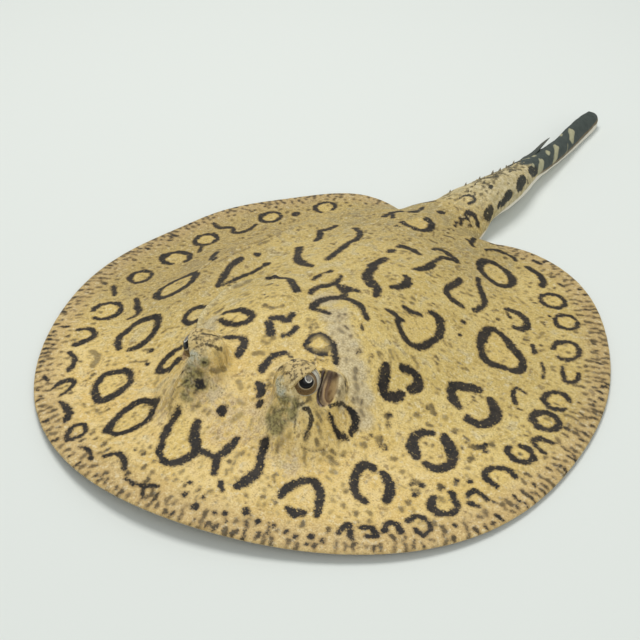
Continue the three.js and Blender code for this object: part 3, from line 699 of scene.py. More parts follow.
MARKS = [
    (1, 2.9, 1, [36, 82.7, 37.8, 85.9, 42.5, 86.4, 47.6, 84, 51.8, 79.9, 53.2, 75.2, 52.3, 70.5, 48.6, 67.7, 43.4, 69.1, 38.7, 72.4, 36, 77.5]),
    (1, 2, 1, [79.6, 74.2, 79.2, 76.5, 78, 78.4, 76.1, 79.7, 74, 80.2, 71.9, 79.7, 70, 78.4, 68.8, 76.5, 68.4, 74.2, 68.8, 71.9, 70, 70, 71.9, 68.7, 74, 68.2, 76.1, 68.7, 78, 70, 79.2, 71.9]),
    (1, 1.8, 1, [90.3, 60.3, 89.9, 62.6, 88.8, 64.5, 87.2, 65.8, 85.3, 66.3, 83.4, 65.8, 81.8, 64.5, 80.7, 62.6, 80.3, 60.3, 80.7, 58, 81.8, 56.1, 83.4, 54.8, 85.3, 54.3, 87.2, 54.8, 88.8, 56.1, 89.9, 58]),
    (1, 2.6, 0, [60.5, 50.3, 65.4, 51.3, 69.6, 49.5, 72, 45.3, 71, 40.8, 67.6, 39.7]),
    (1, 1.2, 0, [61, 48, 64, 45]),
    (1, 2.4, 0, [36.9, 50.9, 37.3, 45.3, 36.9, 39.7, 37.4, 34.1, 41, 31.8, 44.8, 32.2]),
    (1, 2.4, 0, [41, 63, 43.9, 56.5, 47.6, 51.4, 50.9, 46.2, 51.8, 40.6, 50.9, 35]),
    (1, 3, 1, [60.7, 29, 65.4, 29.9, 70, 27.6, 74.7, 23.8, 79.4, 20.1, 81.2, 14.5, 80.3, 9.8, 74.7, 8.4, 69.6, 6.6, 65.4, 8.9, 62.1, 14.5, 60.7, 21]),
    (1, 2.6, 0, [39.2, 13.6, 43, 13.6, 45.8, 8.9, 47.2, 2.4, 46.2, -4.2, 44.8, -10.7, 40.1, -13.5, 34.5, -8.9, 30.8, -3.3, 28, -2.3]),
    (1, 2.4, 0, [30.3, 6.1, 35.5, 8]),
    (1, 2, 0, [105.8, 5.3, 104.6, 6.8, 103.1, 7.9, 101.3, 8.2, 99.5, 7.9, 98, 6.8, 96.8, 5.3, 96.2, 3.4, 96.2, 1.4, 96.8, -0.5, 98, -2, 99.5, -3.1, 101.3, -3.4, 103.1, -3.1, 104.6, -2, 105.8, -0.5]),
    (1, 2.2, 1, [107.1, -12.2, 106.7, -10.3, 105.5, -8.7, 103.8, -7.6, 101.8, -7.2, 99.8, -7.6, 98.1, -8.7, 96.9, -10.3, 96.5, -12.2, 96.9, -14.1, 98.1, -15.7, 99.8, -16.8, 101.8, -17.2, 103.8, -16.8, 105.5, -15.7, 106.7, -14.1]),
    (1, 2, 0, [91.2, 32.4, 93.1, 32.2, 94.9, 32.8, 96.5, 34.2, 97.6, 36.1, 98.1, 38.4, 97.9, 40.8, 97.1, 42.9, 95.8, 44.6, 94, 45.6, 92.1, 45.8, 90.3, 45.2, 88.7, 43.8, 87.6, 41.9, 87.1, 39.6, 87.3, 37.2]),
    (1, 2, 0, [95.2, 26.6, 97.6, 21, 100.8, 17.3, 103.6, 22, 102.7, 26.6]),
    (1, 2.8, 0, [53.2, 97.6, 59.8, 93.9, 64.4, 88.3, 64.9, 84.1]),
    (1, 1.8, 0, [32.2, 93.9, 34.5, 99.5, 38.3, 101.8, 43.9, 102.3, 45.8, 99.9]),
    (1, 2.6, 0, [23.8, 98.5, 25.2, 92]),
    (1, 2, 0, [53.2, 106, 57, 105]),
    (1, 2, 0, [71, 91, 73.8, 90]),
    (1, 1.9, 0, [17.7, 65.8, 20.5, 68.2, 25.2, 68.2, 28, 65.8, 25.2, 62.1, 23.3, 59.3, 23.3, 52.8, 23.3, 47.2, 22.9, 41.6, 21, 37.4]),
    (1, 2, 0, [5.6, 50.9, 8.4, 54.2, 12.1, 54.6, 15.4, 51.4]),
    (1, 4, 0, [5.6, 43.9]),
    (1, 2.2, 0, [6.5, 36, 5.6, 28.5, 7, 22, 7.5, 16.4, 11.2, 11.7, 15.9, 8.9, 17.3, 4.2]),
    (1, 2.4, 0, [21.9, 26.6, 24.3, 22, 21.9, 15.4]),
    (1, 2.5, 0, [50.9, 22]),
    (1, 1.4, 0, [53.2, 12.6]),
    (1, 2.2, 0, [79.4, 33.2, 82.2, 28]),
    (1, 1.2, 0, [86.8, 23.8, 89.6, 19.2, 91, 13.6]),
    (0.5, 1.5, 0, [79.4, 45, 79.4, 40]),
    (1, 1.5, 0, [88.7, -1.3, 84.5, -0.4, 84.9, -5, 87.8, -9.8]),
    (1, 1.6, 0, [60.7, 38.8]),
    (0.5, 1, 0, [59.8, 64.9, 66, 61]),
    (0.5, 2, 0, [61, 74]),
    (1, 1.6, 0, [77.5, 60.2]),
    (1, 3, 0, [72.4, -11.7, 68.5, -13.9, 64.1, -16.9, 63.7, -20.4, 66.3, -24.3, 69.8, -26.5]),
    (1, 3.2, 0, [78.4, -14.3, 81.9, -17.8, 84.1, -22.1, 83.2, -26.5, 80.6, -30.4, 75.4, -30.4]),
    (1, 2.6, 0, [45.5, -27.8, 47.7, -25.2, 51.1, -25.6, 52.9, -29.1, 51.6, -33]),
    (1, 2.8, 0, [40.7, -33, 41.6, -36.9, 43.3, -41.6, 45.9, -43.4, 49, -40.8, 49.8, -37.7]),
    (1, 3, 0, [66.7, -46, 63.3, -49, 62.4, -53.3, 64.1, -57.2, 67.2, -59.8]),
    (1, 3, 0, [71.9, -45.1, 76.3, -49, 79.3, -53.3, 79.7, -57.2, 77.1, -61.1, 73.7, -62, 71.1, -61.1]),
    (1, 2.8, 0, [55.9, -74.6, 52.4, -74.6, 51.6, -78.5, 52.4, -83.7, 55.5, -88.9, 60.7, -91]),
    (1, 2.8, 0, [59.8, -74.6, 62.8, -76.7, 65.9, -81.1, 67.2, -86.3]),
    (1, 2.4, 0, [33.8, -106.2, 34.2, -101, 37.3, -95.8, 40.7, -93.2, 44.6, -95.8, 47.2, -101, 49, -106.2]),
    (1, 2.6, 0, [39, -109.2, 41.6, -109.7, 44.2, -107.9]),
    (1, 1.8, 0, [108.3, -23, 104, -23, 101.8, -25.6, 103.6, -28.6, 107.5, -29.9]),
    (1, 2, 0, [95.3, -34.9, 95.1, -36.4, 95.6, -37.8, 96.6, -39, 98, -39.9, 99.7, -40.3, 101.4, -40.2, 103, -39.5, 104.2, -38.5, 104.9, -37.1, 105.1, -35.6, 104.6, -34.2, 103.6, -33, 102.2, -32.1, 100.5, -31.7, 98.8, -31.8]),
    (1, 1.9, 0, [103.1, -49, 98.8, -47.3, 94.5, -49, 92.7, -52.5, 94, -56.4, 98.8, -57.7]),
    (1, 1.9, 0, [91.9, -68.9, 92.3, -65.5, 95.3, -64.6, 98.8, -66.3]),
    (1, 1.9, 0, [93.6, -71.5, 97, -71.1]),
    (1, 2.2, 0, [81.5, -76.5, 82.2, -80.1, 85.4, -82.2, 89.4, -80.6, 90.8, -76.6, 88.6, -72.8, 85.8, -70.5]),
    (1, 1.6, 0, [78.4, -91.5, 79.7, -88, 83.2, -87.6, 86.7, -90.6, 85.8, -94.5, 82.3, -93.6]),
    (1, 1.8, 0, [72.8, -99.3, 72.8, -95.8, 75.4, -94.9, 78.4, -97.5]),
    (1, 1.8, 0, [65.4, -102.7, 68.5, -101, 71.9, -103.6, 68.5, -105.3]),
    (1, 2, 0, [59.4, -108.8, 60.7, -104, 64.1, -108.8]),
    (1, 2.6, 0, [52, -115.7]),
    (1, 2.4, 0, [56.3, -115.3]),
    (1, 2.4, 0, [47.2, -118.3]),
    (1, 2.4, 0, [43.3, -118.3]),
    (1, 2, 0, [38.1, -118.3]),
    (1, 2.2, 0, [32.5, -120]),
    (1, 3, 0, [26.9, -118.3]),
    (1, 2, 0, [20.8, -122.7]),
    (1, 2, 0, [17.3, -124.4]),
    (1, 3.2, 0, [9.5, -125.3]),
    (1, 1.6, 0, [10.4, -120.9]),
    (1, 2, 0, [2.6, -117.5]),
    (1, 2, 0, [3.5, -122.7]),
    (1, 2.6, 0, [7.4, -93.2, 6.5, -98.4, 5.2, -103.6, 7.8, -109.7]),
    (1, 4, 0, [5, -103]),
    (1, 2.8, 0, [18.2, -90.6, 19.5, -95.8, 21.2, -101, 19.9, -107, 18.2, -111]),
    (1, 2, 0, [12.1, -112.3, 14.3, -114.9]),
    (0.6, 1.6, 0, [10.4, -42.9, 13, -39, 17.3, -39.9, 20.4, -42, 17.3, -46, 13, -46.8, 10.4, -44.7]),
    (1, 1.8, 0, [-55.2, 99.4, -55, 101.5, -55.5, 103.5, -56.5, 105.2, -57.9, 106.4, -59.6, 107, -61.3, 106.8, -62.9, 105.9, -64.1, 104.4, -64.8, 102.6, -65, 100.5, -64.5, 98.5, -63.5, 96.8, -62.1, 95.6, -60.4, 95, -58.7, 95.2]),
    (1, 2, 1, [-75, 79, -75.4, 81.3, -76.5, 83.2, -78.1, 84.5, -80, 85, -81.9, 84.5, -83.5, 83.2, -84.6, 81.3, -85, 79, -84.6, 76.7, -83.5, 74.8, -81.9, 73.5, -80, 73, -78.1, 73.5, -76.5, 74.8, -75.4, 76.7]),
    (1, 5, 0, [-70, 87.5]),
    (1, 2, 0, [-104, 62, -99, 59, -92, 61, -89, 57, -84, 60, -82.5, 68]),
    (1, 2, 1, [-92, 45, -92.4, 47.3, -93.6, 49.2, -95.4, 50.5, -97.5, 51, -99.6, 50.5, -101.4, 49.2, -102.6, 47.3, -103, 45, -102.6, 42.7, -101.4, 40.8, -99.6, 39.5, -97.5, 39, -95.4, 39.5, -93.6, 40.8, -92.4, 42.7]),
    (1, 2, 0, [-95, 37, -93, 32]),
    (1, 1.6, 0, [-98, 53, -97.5, 51]),
    (1, 2.4, 0, [-93.2, 20.8, -93, 23.1, -93.7, 25.2, -95.1, 27.1, -97, 28.4, -99.4, 29, -101.8, 28.8, -104, 27.8, -105.7, 26.2, -106.8, 24.2, -107, 21.9, -106.3, 19.8, -104.9, 17.9, -103, 16.6, -100.6, 16, -98.2, 16.2]),
    (1, 2, 1, [-100, 0, -100.4, 2.2, -101.5, 4.1, -103.1, 5.4, -105, 5.8, -106.9, 5.4, -108.5, 4.1, -109.6, 2.2, -110, 0, -109.6, -2.2, -108.5, -4.1, -106.9, -5.4, -105, -5.8, -103.1, -5.4, -101.5, -4.1, -100.4, -2.2]),
    (1, 3, 0, [-82, 31, -79, 23, -75, 17, -70, 12]),
    (1, 2.6, 1, [-69.5, -9, -70.1, -5.2, -72, -1.9, -74.7, 0.2, -78, 1, -81.3, 0.2, -84, -1.9, -85.9, -5.2, -86.5, -9, -85.9, -12.8, -84, -16.1, -81.3, -18.2, -78, -19, -74.7, -18.2, -72, -16.1, -70.1, -12.8]),
    (1, 3.4, 0, [-53, 22]),
    (1, 3, 0, [-58, 15, -59, 8, -57, 0, -55, -9]),
    (1, 4, 0, [-44, 15]),
    (1, 2, 0, [-44, 15, -46, 8, -50, 1, -53.5, -8]),
    (1, 2.2, 0, [-35, 66, -36, 61, -39, 57, -36, 52, -34, 44]),
    (1, 3, 0, [-38, 35, -34, 27, -30, 19, -24, 14, -19, 12]),
    (1, 2.4, 0, [-25, 66, -19, 60, -15, 50, -16, 42, -15, 32, -15, 20]),
    (1, 2.4, 0, [-17, 90, -13.5, 84]),
    (1, 3, 0, [-30, -5, -22, -4, -17, -8, -11, -15]),
    (0.5, 1.6, 0, [-45, -10, -39, -3]),
    (0.5, 2, 0, [-35, 8]),
    (0.6, 1.5, 0, [-55, 35, -57, 30]),
    (1, 2, 0, [-102.7, -39, -100.4, -39.2, -98.3, -38.5, -96.4, -37.1, -95.1, -35, -94.5, -32.6, -94.7, -30.1, -95.7, -27.9, -97.3, -26.1, -99.3, -25, -101.6, -24.8, -103.7, -25.5, -105.6, -26.9, -106.9, -29, -107.5, -31.4, -107.3, -33.9]),
    (1, 2.5, 0, [-112, -12, -107, -18]),
    (1, 2, 0, [-94, -18.5, -91, -22, -88, -26, -84, -29.6, -86.5, -35]),
    (1, 2.8, 0, [-80.4, -38, -77.1, -34.3, -71.5, -33.3, -67.8, -38, -66.4, -45.5, -68.7, -52, -71.5, -54.8]),
    (1, 2.8, 0, [-80.4, -38, -81.3, -45.5, -80.4, -51.1, -76.7, -54.8]),
    (1, 2.4, 0, [-49.1, -25.9, -54.7, -25.9, -56.6, -30.5, -55.2, -35.2, -51, -37.1, -48.7, -36.1]),
    (1, 2.4, 0, [-45.9, -52.9, -49.6, -56.7, -49.6, -62.3, -46.3, -65.5, -42.6, -64.1, -43, -59.5]),
    (1, 2.5, 0, [-60.3, -53.9]),
    (1, 1.6, 0, [-57, -61.3]),
    (1, 2.4, 0, [-103.3, -50.1, -97.7, -47.3, -93, -52, -94.9, -57.6, -96.7, -60.4]),
    (1, 2.2, 0, [-94.9, -66, -89.3, -69.7, -87.4, -76.3]),
    (0.6, 2, 0, [-86.5, -61.3, -81.8, -63.2, -79.9, -69.7]),
    (1, 2.8, 1, [-70.6, -71.6, -64.1, -66.9, -58.5, -71.6, -57.5, -79.1, -61.3, -87.9, -65.9, -85.6, -69.7, -80.9, -71.1, -75.3]),
    (1, 1.8, 0, [-85.5, -89.3, -84.6, -83.7, -80.9, -81.4, -78.5, -85.6, -79, -92.1]),
    (1, 1.6, 0, [-94.9, -83.7, -91.1, -85.6]),
    (1, 2.8, 1, [-46.3, -103.3, -47.7, -95.9, -46.8, -88.4, -43.1, -83.7, -36.1, -86.5, -32.8, -93.1, -35.1, -99.6, -40.7, -104.3]),
    (1, 2.4, 0, [-76.2, -95.9, -71.5, -97.7, -67.8, -100.5, -66.4, -105.2]),
    (1, 1.7, 1, [-61.3, -107.1, -58.5, -103.8, -54.7, -107.1, -55.7, -111.7, -58.5, -113.6]),
    (1, 1.4, 0, [-51, -115.5, -45.4, -116.4, -41.2, -120.1]),
    (1, 2, 0, [-37, -117.3, -33.3, -115, -28.6, -116.4, -24.9, -121.1]),
    (1, 2.8, 0, [-21.1, -91.2, -21.6, -97.7, -19.3, -104.3, -16.5, -109.9, -10.9, -113.1, -6.2, -108.9, -4.3, -103.3, -9, -97.7, -10.9, -92.1]),
    (1, 2.4, 0, [-2.5, -102.9, 3.1, -103.3]),
    (1, 4, 0, [-4.3, -84.7]),
    (1, 1.4, 0, [-22, -124.8, -15.5, -125.7, -8, -123.9]),
    (1, 1.7, 0, [27.4, 177.4, 26.9, 180.4, 27.6, 183.6, 29.6, 185, 30.9, 182.4, 31.2, 178.8, 30.4, 176.4]),
    (0.8, 1.8, 0, [29, 180.6]),
    (1, 2.2, 0, [-11.4, 0.2, -10.7, 2.7, -9.4, 5.2, -8.1, 7.5, -7.1, 9.5]),
    (1, 2.6, 0, [-1.3, 7.1]),
    (1, 2.2, 0, [-5.4, -12.8, -5.8, -11.8, -6, -9.3, -5.8, -6.4, -5.2, -5.6, -5.3, -4, -4.7, -0.5, 0, 0]),
    (1, 1.6, 0, [6.1, -4.7, 6.9, -2.3, 7, 0.8, 10.5, 1.2]),
    (1, 1.6, 0, [-5, -13.4]),
    (1, 2.9, 0, [0.6, -21.8, 0.3, -20.1, 0.3, -18.1, 0.7, -16.3, 1.5, -14.6, 2.4, -13, 3.4, -11.6, 4.7, -10.7, 6.2, -9.9, 7.4, -9.1, 8.8, -8.6, 10.4, -8.6, 12.1, -8.9, 13.9, -9.6, 15.7, -10.5, 17.9, -11.9, 20.1, -14, 22.1, -16, 23.7, -17.9]),
    (1, 2, 0, [1.7, -22.8, 3.6, -23.1, 6, -23.6, 8.3, -24.1, 10.1, -24.4]),
    (1, 2.1, 0, [7, 32.9, 6.2, 31.2, 5.5, 29.3, 4.9, 26.7, 5.1, 22.9, 6.1, 18.3, 7.2, 13.7, 8.8, 10.5, 10.8, 9, 12.8, 8.4, 14.6, 8.2, 15.9, 7.3, 16.7, 5.1, 17.4, 2.4]),
    (1, 2.1, 0, [20.3, 27.2, 21.7, 25, 22.7, 22.6, 22.9, 20.3, 22.4, 18.2, 21.5, 16.3, 20.5, 14.8, 19.7, 13.6]),
    (1, 4, 0, [5.2, 45.5]),
    (1, 2.6, 0, [5.3, 53.5, 7.5, 53.5, 9.6, 53.4, 11.5, 53.2, 13.5, 52.9, 15.3, 52.7]),
    (1, 2.6, 0, [17.2, 64.4, 18.4, 66.8, 20, 68.3, 22.1, 68.1, 24.2, 67, 26.2, 66.2, 27.8, 65.7, 29.1, 65.4]),
    (1, 1.9, 0, [20.1, 36, 21.4, 37.1, 22.9, 38.7, 24, 41.3, 24.4, 45.2, 24.3, 49.6]),
    (1, 2.2, 0, [37.6, 51, 37.1, 47.7, 36.7, 44.1, 36.4, 40.7, 36.4, 37.5, 36.8, 34.8, 37.9, 33, 39.4, 31.9, 41.1, 31.3, 42.9, 31.3, 44.8, 31.6, 46.3, 31.9]),
    (1, 2.2, 0, [26.4, -3, 27.9, -3.2, 29.8, -3.3, 31.6, -3.3, 33, -3.1]),
    (1, 2.2, 0, [29.5, 6.1, 31.1, 6.5, 33, 6.9, 34.8, 7.4, 36.3, 7.8]),
    (1, 2.4, 0, [40.8, 13.1]),
    (1, 2, 0, [-18.6, 85.7, -18.7, 88.9, -18.2, 91.7, -17, 93.7, -15.4, 95.1, -13.3, 95.7, -11, 95.6, -8.8, 95.7, -7.5, 97.6, -7.7, 102.7, -9.2, 110.3]),
    (1, 1.8, 0, [1, 90.5, 4, 88.3, 6.6, 85.6, 8.1, 82.2, 8.3, 79.3, 7.4, 77.7, 5.5, 77, 3.1, 76.6, 0.6, 76.5, -1.7, 76.7]),
    (1, 2.3, 0, [-33.6, -36.4, -31.8, -36.1, -29.7, -35.7, -27.4, -35.4, -25, -35.7, -22.5, -36.6, -20.1, -37.9, -18.4, -39.3, -17.9, -40.8, -18.2, -42.2, -19, -43.4, -20.1, -44.3, -21.5, -44.9, -23.3, -44.9, -25.3, -44.5, -27.7, -43.7, -30.4, -42.4, -33.1, -40.8]),
    (1, 2.3, 0, [-22.3, -53.6, -21.5, -52.8, -20.1, -52.2, -18.2, -51.8, -16.2, -51.6, -14.5, -52, -13.4, -53.1, -12.9, -54.8, -12.6, -56.9, -12.1, -59, -11.6, -60.9]),
    (1, 2.3, 0, [-9.8, -37.2, -8.3, -36, -6.7, -35.2, -5, -35.1, -3.9, -34.8, -3.7, -32.9, -4, -30.2]),
    (1, 3, 0, [-9.2, -40.5, -7.7, -42.6, -6, -44.8]),
    (1, 2.6, 0, [1.3, -37.2, 1.5, -39.1, 1.2, -40.9, 0.2, -42.3, -1, -43.4]),
    (0.8, 1.7, 0, [-16.9, -31.6, -14.9, -31.9, -13.1, -31.7]),
    (0.55, 1.3, 0, [-6.9, -49.7, -5.7, -49.9, -4.5, -50.2]),
    (0.6, 1.2, 0, [-4.4, -47.9, -4, -46.9, -3.6, -45.9]),
    (0.5, 1.2, 0, [-7.7, -47.9, -7.1, -46.7]),
    (0.5, 1.1, 0, [2.9, -30.2, 5.5, -31.9, 6.2, -30.7]),
    (0.7, 1.2, 0, [-16.5, -31.2, -14.5, -31.8, -12.5, -32.1]),
    (0.45, 1.3, 0, [-4.9, -71.6, -3.6, -72.5, -2.2, -73.7]),
    (0.4, 1.1, 0, [-0.5, -79.1, 1.1, -79.6, 2.6, -79.8]),
    (0.4, 1.6, 0, [1.8, -87.4, 2.2, -86.4, 2.8, -85.4, 3.3, -84.4, 3.8, -83.7]),
    (0.6, 1.8, 0, [-6.3, -56.8, -4.7, -56.2, -3.2, -55.7]),
    (1, 2, 0, [10.4, -45.3, 10.3, -43.8, 10.2, -42.1, 10.4, -40.6, 11.1, -39.3, 12.1, -38.3, 13.5, -37.9, 15.3, -38.3, 17.1, -39.1, 18.6, -39.9, 19.9, -40.7, 21.2, -41.9, 22.6, -43.5, 24, -45.3, 25.2, -46.8]),
    (1, 1.9, 0, [11.7, -46.4, 13.4, -46.9, 15.2, -47.1, 17, -47, 18.5, -46.6, 19.8, -46.2]),
    (1, 2.4, 0, [1.1, -63.6, 0.8, -61.5, 0.6, -59.4, 0.7, -57.6, 1.1, -56, 1.9, -54.6, 3.1, -53.3, 4.6, -52.3]),
    (1, 2.6, 0, [2.8, -69.6, 4.4, -70.7, 5.8, -72, 6.3, -73.3, 6.4, -74.6]),
    (1, 3.4, 0, [8.6, -78]),
    (1, 4.4, 0, [-4.2, -84.9]),
    (1, 2, 0, [-49.1, -65.5, -49.3, -63.4, -49.4, -61.1, -49.3, -59, -48.8, -57.5, -48.1, -56.3, -47.4, -55.2, -46.8, -54, -46.3, -53]),
    (1, 2, 0, [-49.1, -65.5, -46.7, -66.1, -45.3, -65.7, -44.4, -64.7, -41.7, -65.6, -37.3, -68.6, -34.8, -69.7]),
    (1, 2, 0, [-19.4, -102.8, -20, -101, -20.5, -98.9, -21, -96.6, -21.2, -94.6, -21.2, -92.8, -21, -91.5]),
    (1, 2.2, 0, [-9.5, -98.4, -9.8, -97, -10.2, -95.1, -10.5, -93.8]),
    (0.8, 0.64, 0, [32.9, -81.5, 32.6, -82.9, 32.3, -84.3]),
    (1, 2.1, 0, [37.5, -59, 38.4, -59.1, 39.6, -59.4, 40.7, -60.2, 41.5, -61.5, 41.9, -63.2, 42, -64.9, 42, -66.4]),
    (1, 1.72, 0, [41.1, -69.2, 40.5, -70.2, 39.8, -71, 39, -71.4, 38.2, -71.6, 37.4, -71.5, 36.6, -71.3, 35.9, -70.8]),
    (0.8, 0.8, 0, [21.7, -70, 21.7, -68.2, 20.4, -62.8, 18.1, -54.4, 17.9, -50.1, 19.2, -49.8, 20.5, -49.6]),
    (1, 1.5, 0, [-18.9, 117.5, -17.9, 118.3, -17.1, 119.1, -16.1, 119.6, -13.8, 119.9, -10.7, 120, -7.9, 120.2]),
    (1, 2.4, 0, [-5.9, 79.5, -4.1, 78.5, -1.9, 77.3, 0.4, 76.5, 2.7, 76.2, 4.9, 76.5, 6.7, 77.9, 7.6, 80.8, 7.3, 84.3, 5.9, 87.8, 3.9, 90.6, 1.8, 92.4, -0.1, 93.7]),
    (1, 4.4, 0, [1.8, 109.1]),
    (1, 1.4, 0, [6.1, 125.3, 6.9, 127.1, 8.3, 128.6, 10.4, 129.4, 12.5, 129.4, 13.9, 128.4, 14.1, 126.9, 13.4, 125.3, 12.2, 124.1]),
    (1, 2.2, 0, [12.4, 117.3, 13.8, 118.8, 15.4, 119.8, 17.1, 119.8, 18.6, 119.1, 19.7, 118, 20.3, 116.9]),
    (1, 1.4, 0, [11.6, 116, 13, 115.5, 14.3, 114.7, 15.3, 113.5, 16.4, 112.6]),
    (1, 1.5, 0, [12.7, 102.3, 11.5, 108.3]),
    (1, 1.5, 0, [13.5, 107.9, 12.5, 110.8, 11.1, 113.1]),
    (0.8, 1.4, 0, [15.1, 84, 16.6, 84.6, 17.9, 85.4]),
    (0.7, 1.2, 0, [12.6, 72, 13.9, 72.2, 14.8, 72.4]),
    (1, 2.2, 0, [22.9, 93.4, 25.4, 91.8, 27.6, 90.1]),
    (1, 2.8, 0, [19, 141.4]),
    (0.95, 4.2, 0, [23.5, 125.2, 24.7, 128.9, 26.4, 132.7]),
    (1, 1.6, 0, [30.3, 138.3, 29.6, 139.3, 28.8, 140.4]),
    (1, 4.6, 0, [31, 142.2, 30.7, 144.8, 30.2, 147.5]),
    (1, 4.8, 0, [30.8, 157.5, 30.1, 159.8, 29.3, 163.1, 28.8, 165.8]),
    (1, 4, 0, [28.7, 176.5, 28.2, 181.4, 27.8, 186.1]),
    (1, 2.2, 0, [16.1, 170.3, 16.1, 174.6, 16.6, 178.6, 17.8, 181.4, 19.2, 183.5]),
    (0.8, 1.6, 0, [8.7, 145.5, 10.8, 146.1, 13, 147.3, 14.7, 149.1, 16, 151.1, 17, 153.1]),
    (0.851056, 0.892041, 0, [51.5, -53.7]),
    (1.06107, 0.85204, 0, [52.1, -53.1]),
    (0.983134, 0.764181, 0, [50.9, -53.1]),
    (1.00003, 0.7468, 0, [51.7, -54.4]),
    (0.744313, 0.769901, 0, [51.3, -53.9]),
    (0.767737, 1.3175, 0, [51, -52.7]),
    (0.726254, 1.49115, 0, [49.5, -50.6]),
    (1.00082, 2.03789, 0, [50.1, -49.6]),
    (0.810624, 1.24523, 0, [49.8, -50.8]),
    (0.710619, 1.49365, 0, [50.7, -49.8]),
    (1.00399, 1.04508, 0, [53.5, -62.8]),
    (0.98252, 1.22336, 0, [55.7, -63.4]),
    (0.869773, 0.741899, 0, [55.2, -64.8]),
    (0.930234, 0.797346, 0, [55, -64]),
    (0.996506, 1.46127, 0, [52.9, -63.5]),
    (0.827949, 1.08872, 0, [54.5, -61.6]),
    (0.807994, 1.69243, 0, [51.9, -60.6]),
    (0.592715, 1.50812, 0, [51.4, -60.2]),
    (0.636854, 2.17705, 0, [51.4, -61.5]),
    (0.838499, 1.52381, 0, [51.9, -59.8]),
    (0.851001, 1.85176, 0, [52.6, -61.7]),
    (0.575155, 1.07635, 0, [60.3, -65.7]),
    (0.679234, 1.56771, 0, [60.4, -65.4]),
    (0.621911, 2.14136, 0, [59.9, -65.7]),
    (0.799499, 2.01818, 0, [74.3, -75.7]),
    (0.751351, 1.37055, 0, [71.1, -71.7]),
    (0.899984, 1.25869, 0, [71.3, -74.6]),
    (0.965522, 1.52143, 0, [71.7, -73.5]),
    (0.776763, 1.26108, 0, [72.8, -76.6]),
    (0.91968, 1.47869, 0, [71.6, -74.2]),
    (0.867724, 1.28947, 0, [71.8, -72.2]),
    (0.969672, 1.19474, 0, [72.3, -73.3]),
    (0.721394, 2.18059, 0, [72.7, -71.9]),
    (0.800974, 1.04105, 0, [75.1, -72.2]),
    (1.05055, 1.44808, 0, [75.3, -73.1]),
    (1.04709, 2.40823, 0, [75, -72.5]),
    (0.903449, 1.02932, 0, [75.3, -71.7]),
    (0.896994, 1.91523, 0, [75.7, -72.5]),
    (0.779928, 1.06756, 0, [75, -77.3]),
    (0.761866, 1.54029, 0, [75.4, -76.9]),
    (1.08129, 2.34395, 0, [74.8, -78.5]),
    (0.812821, 1.17418, 0, [74.4, -77.1]),
    (0.926007, 1.28204, 0, [74.8, -77.9]),
    (0.631493, 1.85049, 0, [74.8, -83.6]),
    (0.755846, 1.53001, 0, [74.4, -82.4]),
    (0.856259, 1.33984, 0, [74.1, -83.5]),
    (0.738637, 2.01072, 0, [74.2, -83]),
    (1.07667, 1.18575, 0, [83.1, -42.8]),
    (0.93625, 1.05426, 0, [83.8, -44.5]),
    (0.832918, 1.34446, 0, [82.9, -42.8]),
    (0.969654, 1.01075, 0, [83.4, -44.5]),
    (0.728306, 1.98913, 0, [83.4, -43.7]),
    (0.742043, 1.74191, 0, [82, -44]),
    (0.91182, 1.50699, 0, [84.6, -42.2]),
    (0.969728, 1.18428, 0, [84.7, -42]),
    (0.803635, 1.31853, 0, [88.2, -42.5]),
    (0.932613, 2.04626, 0, [85.8, -42.3]),
    (0.993384, 2.32696, 0, [88.2, -42.9]),
    (1.09022, 1.77135, 0, [86.8, -39.5]),
    (1.00734, 2.45926, 0, [86.1, -41.5]),
    (0.760816, 1.37151, 0, [87.4, -40.4]),
    (1.00609, 2.4136, 0, [86.9, -41.2]),
    (0.792071, 2.17355, 0, [89, -37.6]),
    (0.579306, 1.62104, 0, [88.6, -36.8]),
    (0.674312, 1.39829, 0, [88.8, -36]),
    (0.627226, 1.35906, 0, [88.6, -36.3]),
    (0.802348, 2.42316, 0, [85, -50.1]),
    (0.805528, 2.33975, 0, [85.4, -49.7]),
    (0.746893, 1.66556, 0, [85.2, -51.4]),
    (0.620421, 2.43981, 0, [73.9, -39.1]),
    (0.693663, 1.07398, 0, [74.2, -40.2]),
    (0.86153, 1.08438, 0, [73.4, -40.4]),
    (0.847135, 1.51941, 0, [74.4, -40]),
    (0.927183, 1.06631, 0, [61.2, -33.9]),
    (0.647097, 1.19265, 0, [61.7, -34.5]),
    (0.736117, 1.42336, 0, [61.8, -34.2]),
    (0.653093, 1.2081, 0, [61, -34.7]),
    (0.846391, 1.65688, 0, [60.2, -35.9]),
    (0.677497, 1.5995, 0, [60.8, -33.2]),
    (0.692857, 1.68878, 0, [63.1, -35.5]),
    (0.704063, 2.19795, 0, [63.1, -36.2]),
    (0.764144, 2.32585, 0, [63.7, -36.1]),
    (0.655249, 1.65641, 0, [63.1, -36.1]),
    (0.868574, 2.27107, 0, [81, -69]),
    (0.965436, 2.24078, 0, [82.1, -69.6]),
    (0.875155, 1.5302, 0, [81.9, -69.7]),
    (0.858219, 1.27249, 0, [82.6, -69.4]),
    (0.8423, 2.02014, 0, [81.7, -70.8]),
    (0.975463, 1.48952, 0, [82, -70.8]),
    (1.0684, 1.77186, 0, [85.1, -63.3]),
    (0.835847, 1.31724, 0, [84.9, -63.9]),
    (0.841091, 1.72258, 0, [85.2, -64.7]),
    (0.77139, 1.90766, 0, [85.5, -65.3]),
    (1.00609, 1.07498, 0, [89.5, -61]),
    (0.727137, 1.60242, 0, [89.7, -60.5]),
    (1.07018, 2.43087, 0, [89.4, -60.9]),
    (1.04904, 1.39118, 0, [89.4, -61.4]),
    (0.507824, 1.11342, 0, [68.5, -35.3]),
    (0.357875, 1.77568, 0, [67.6, -35.9]),
    (0.446547, 2.39186, 0, [67.9, -35.4]),
    (0.854809, 1.2014, 0, [41.9, -77.8]),
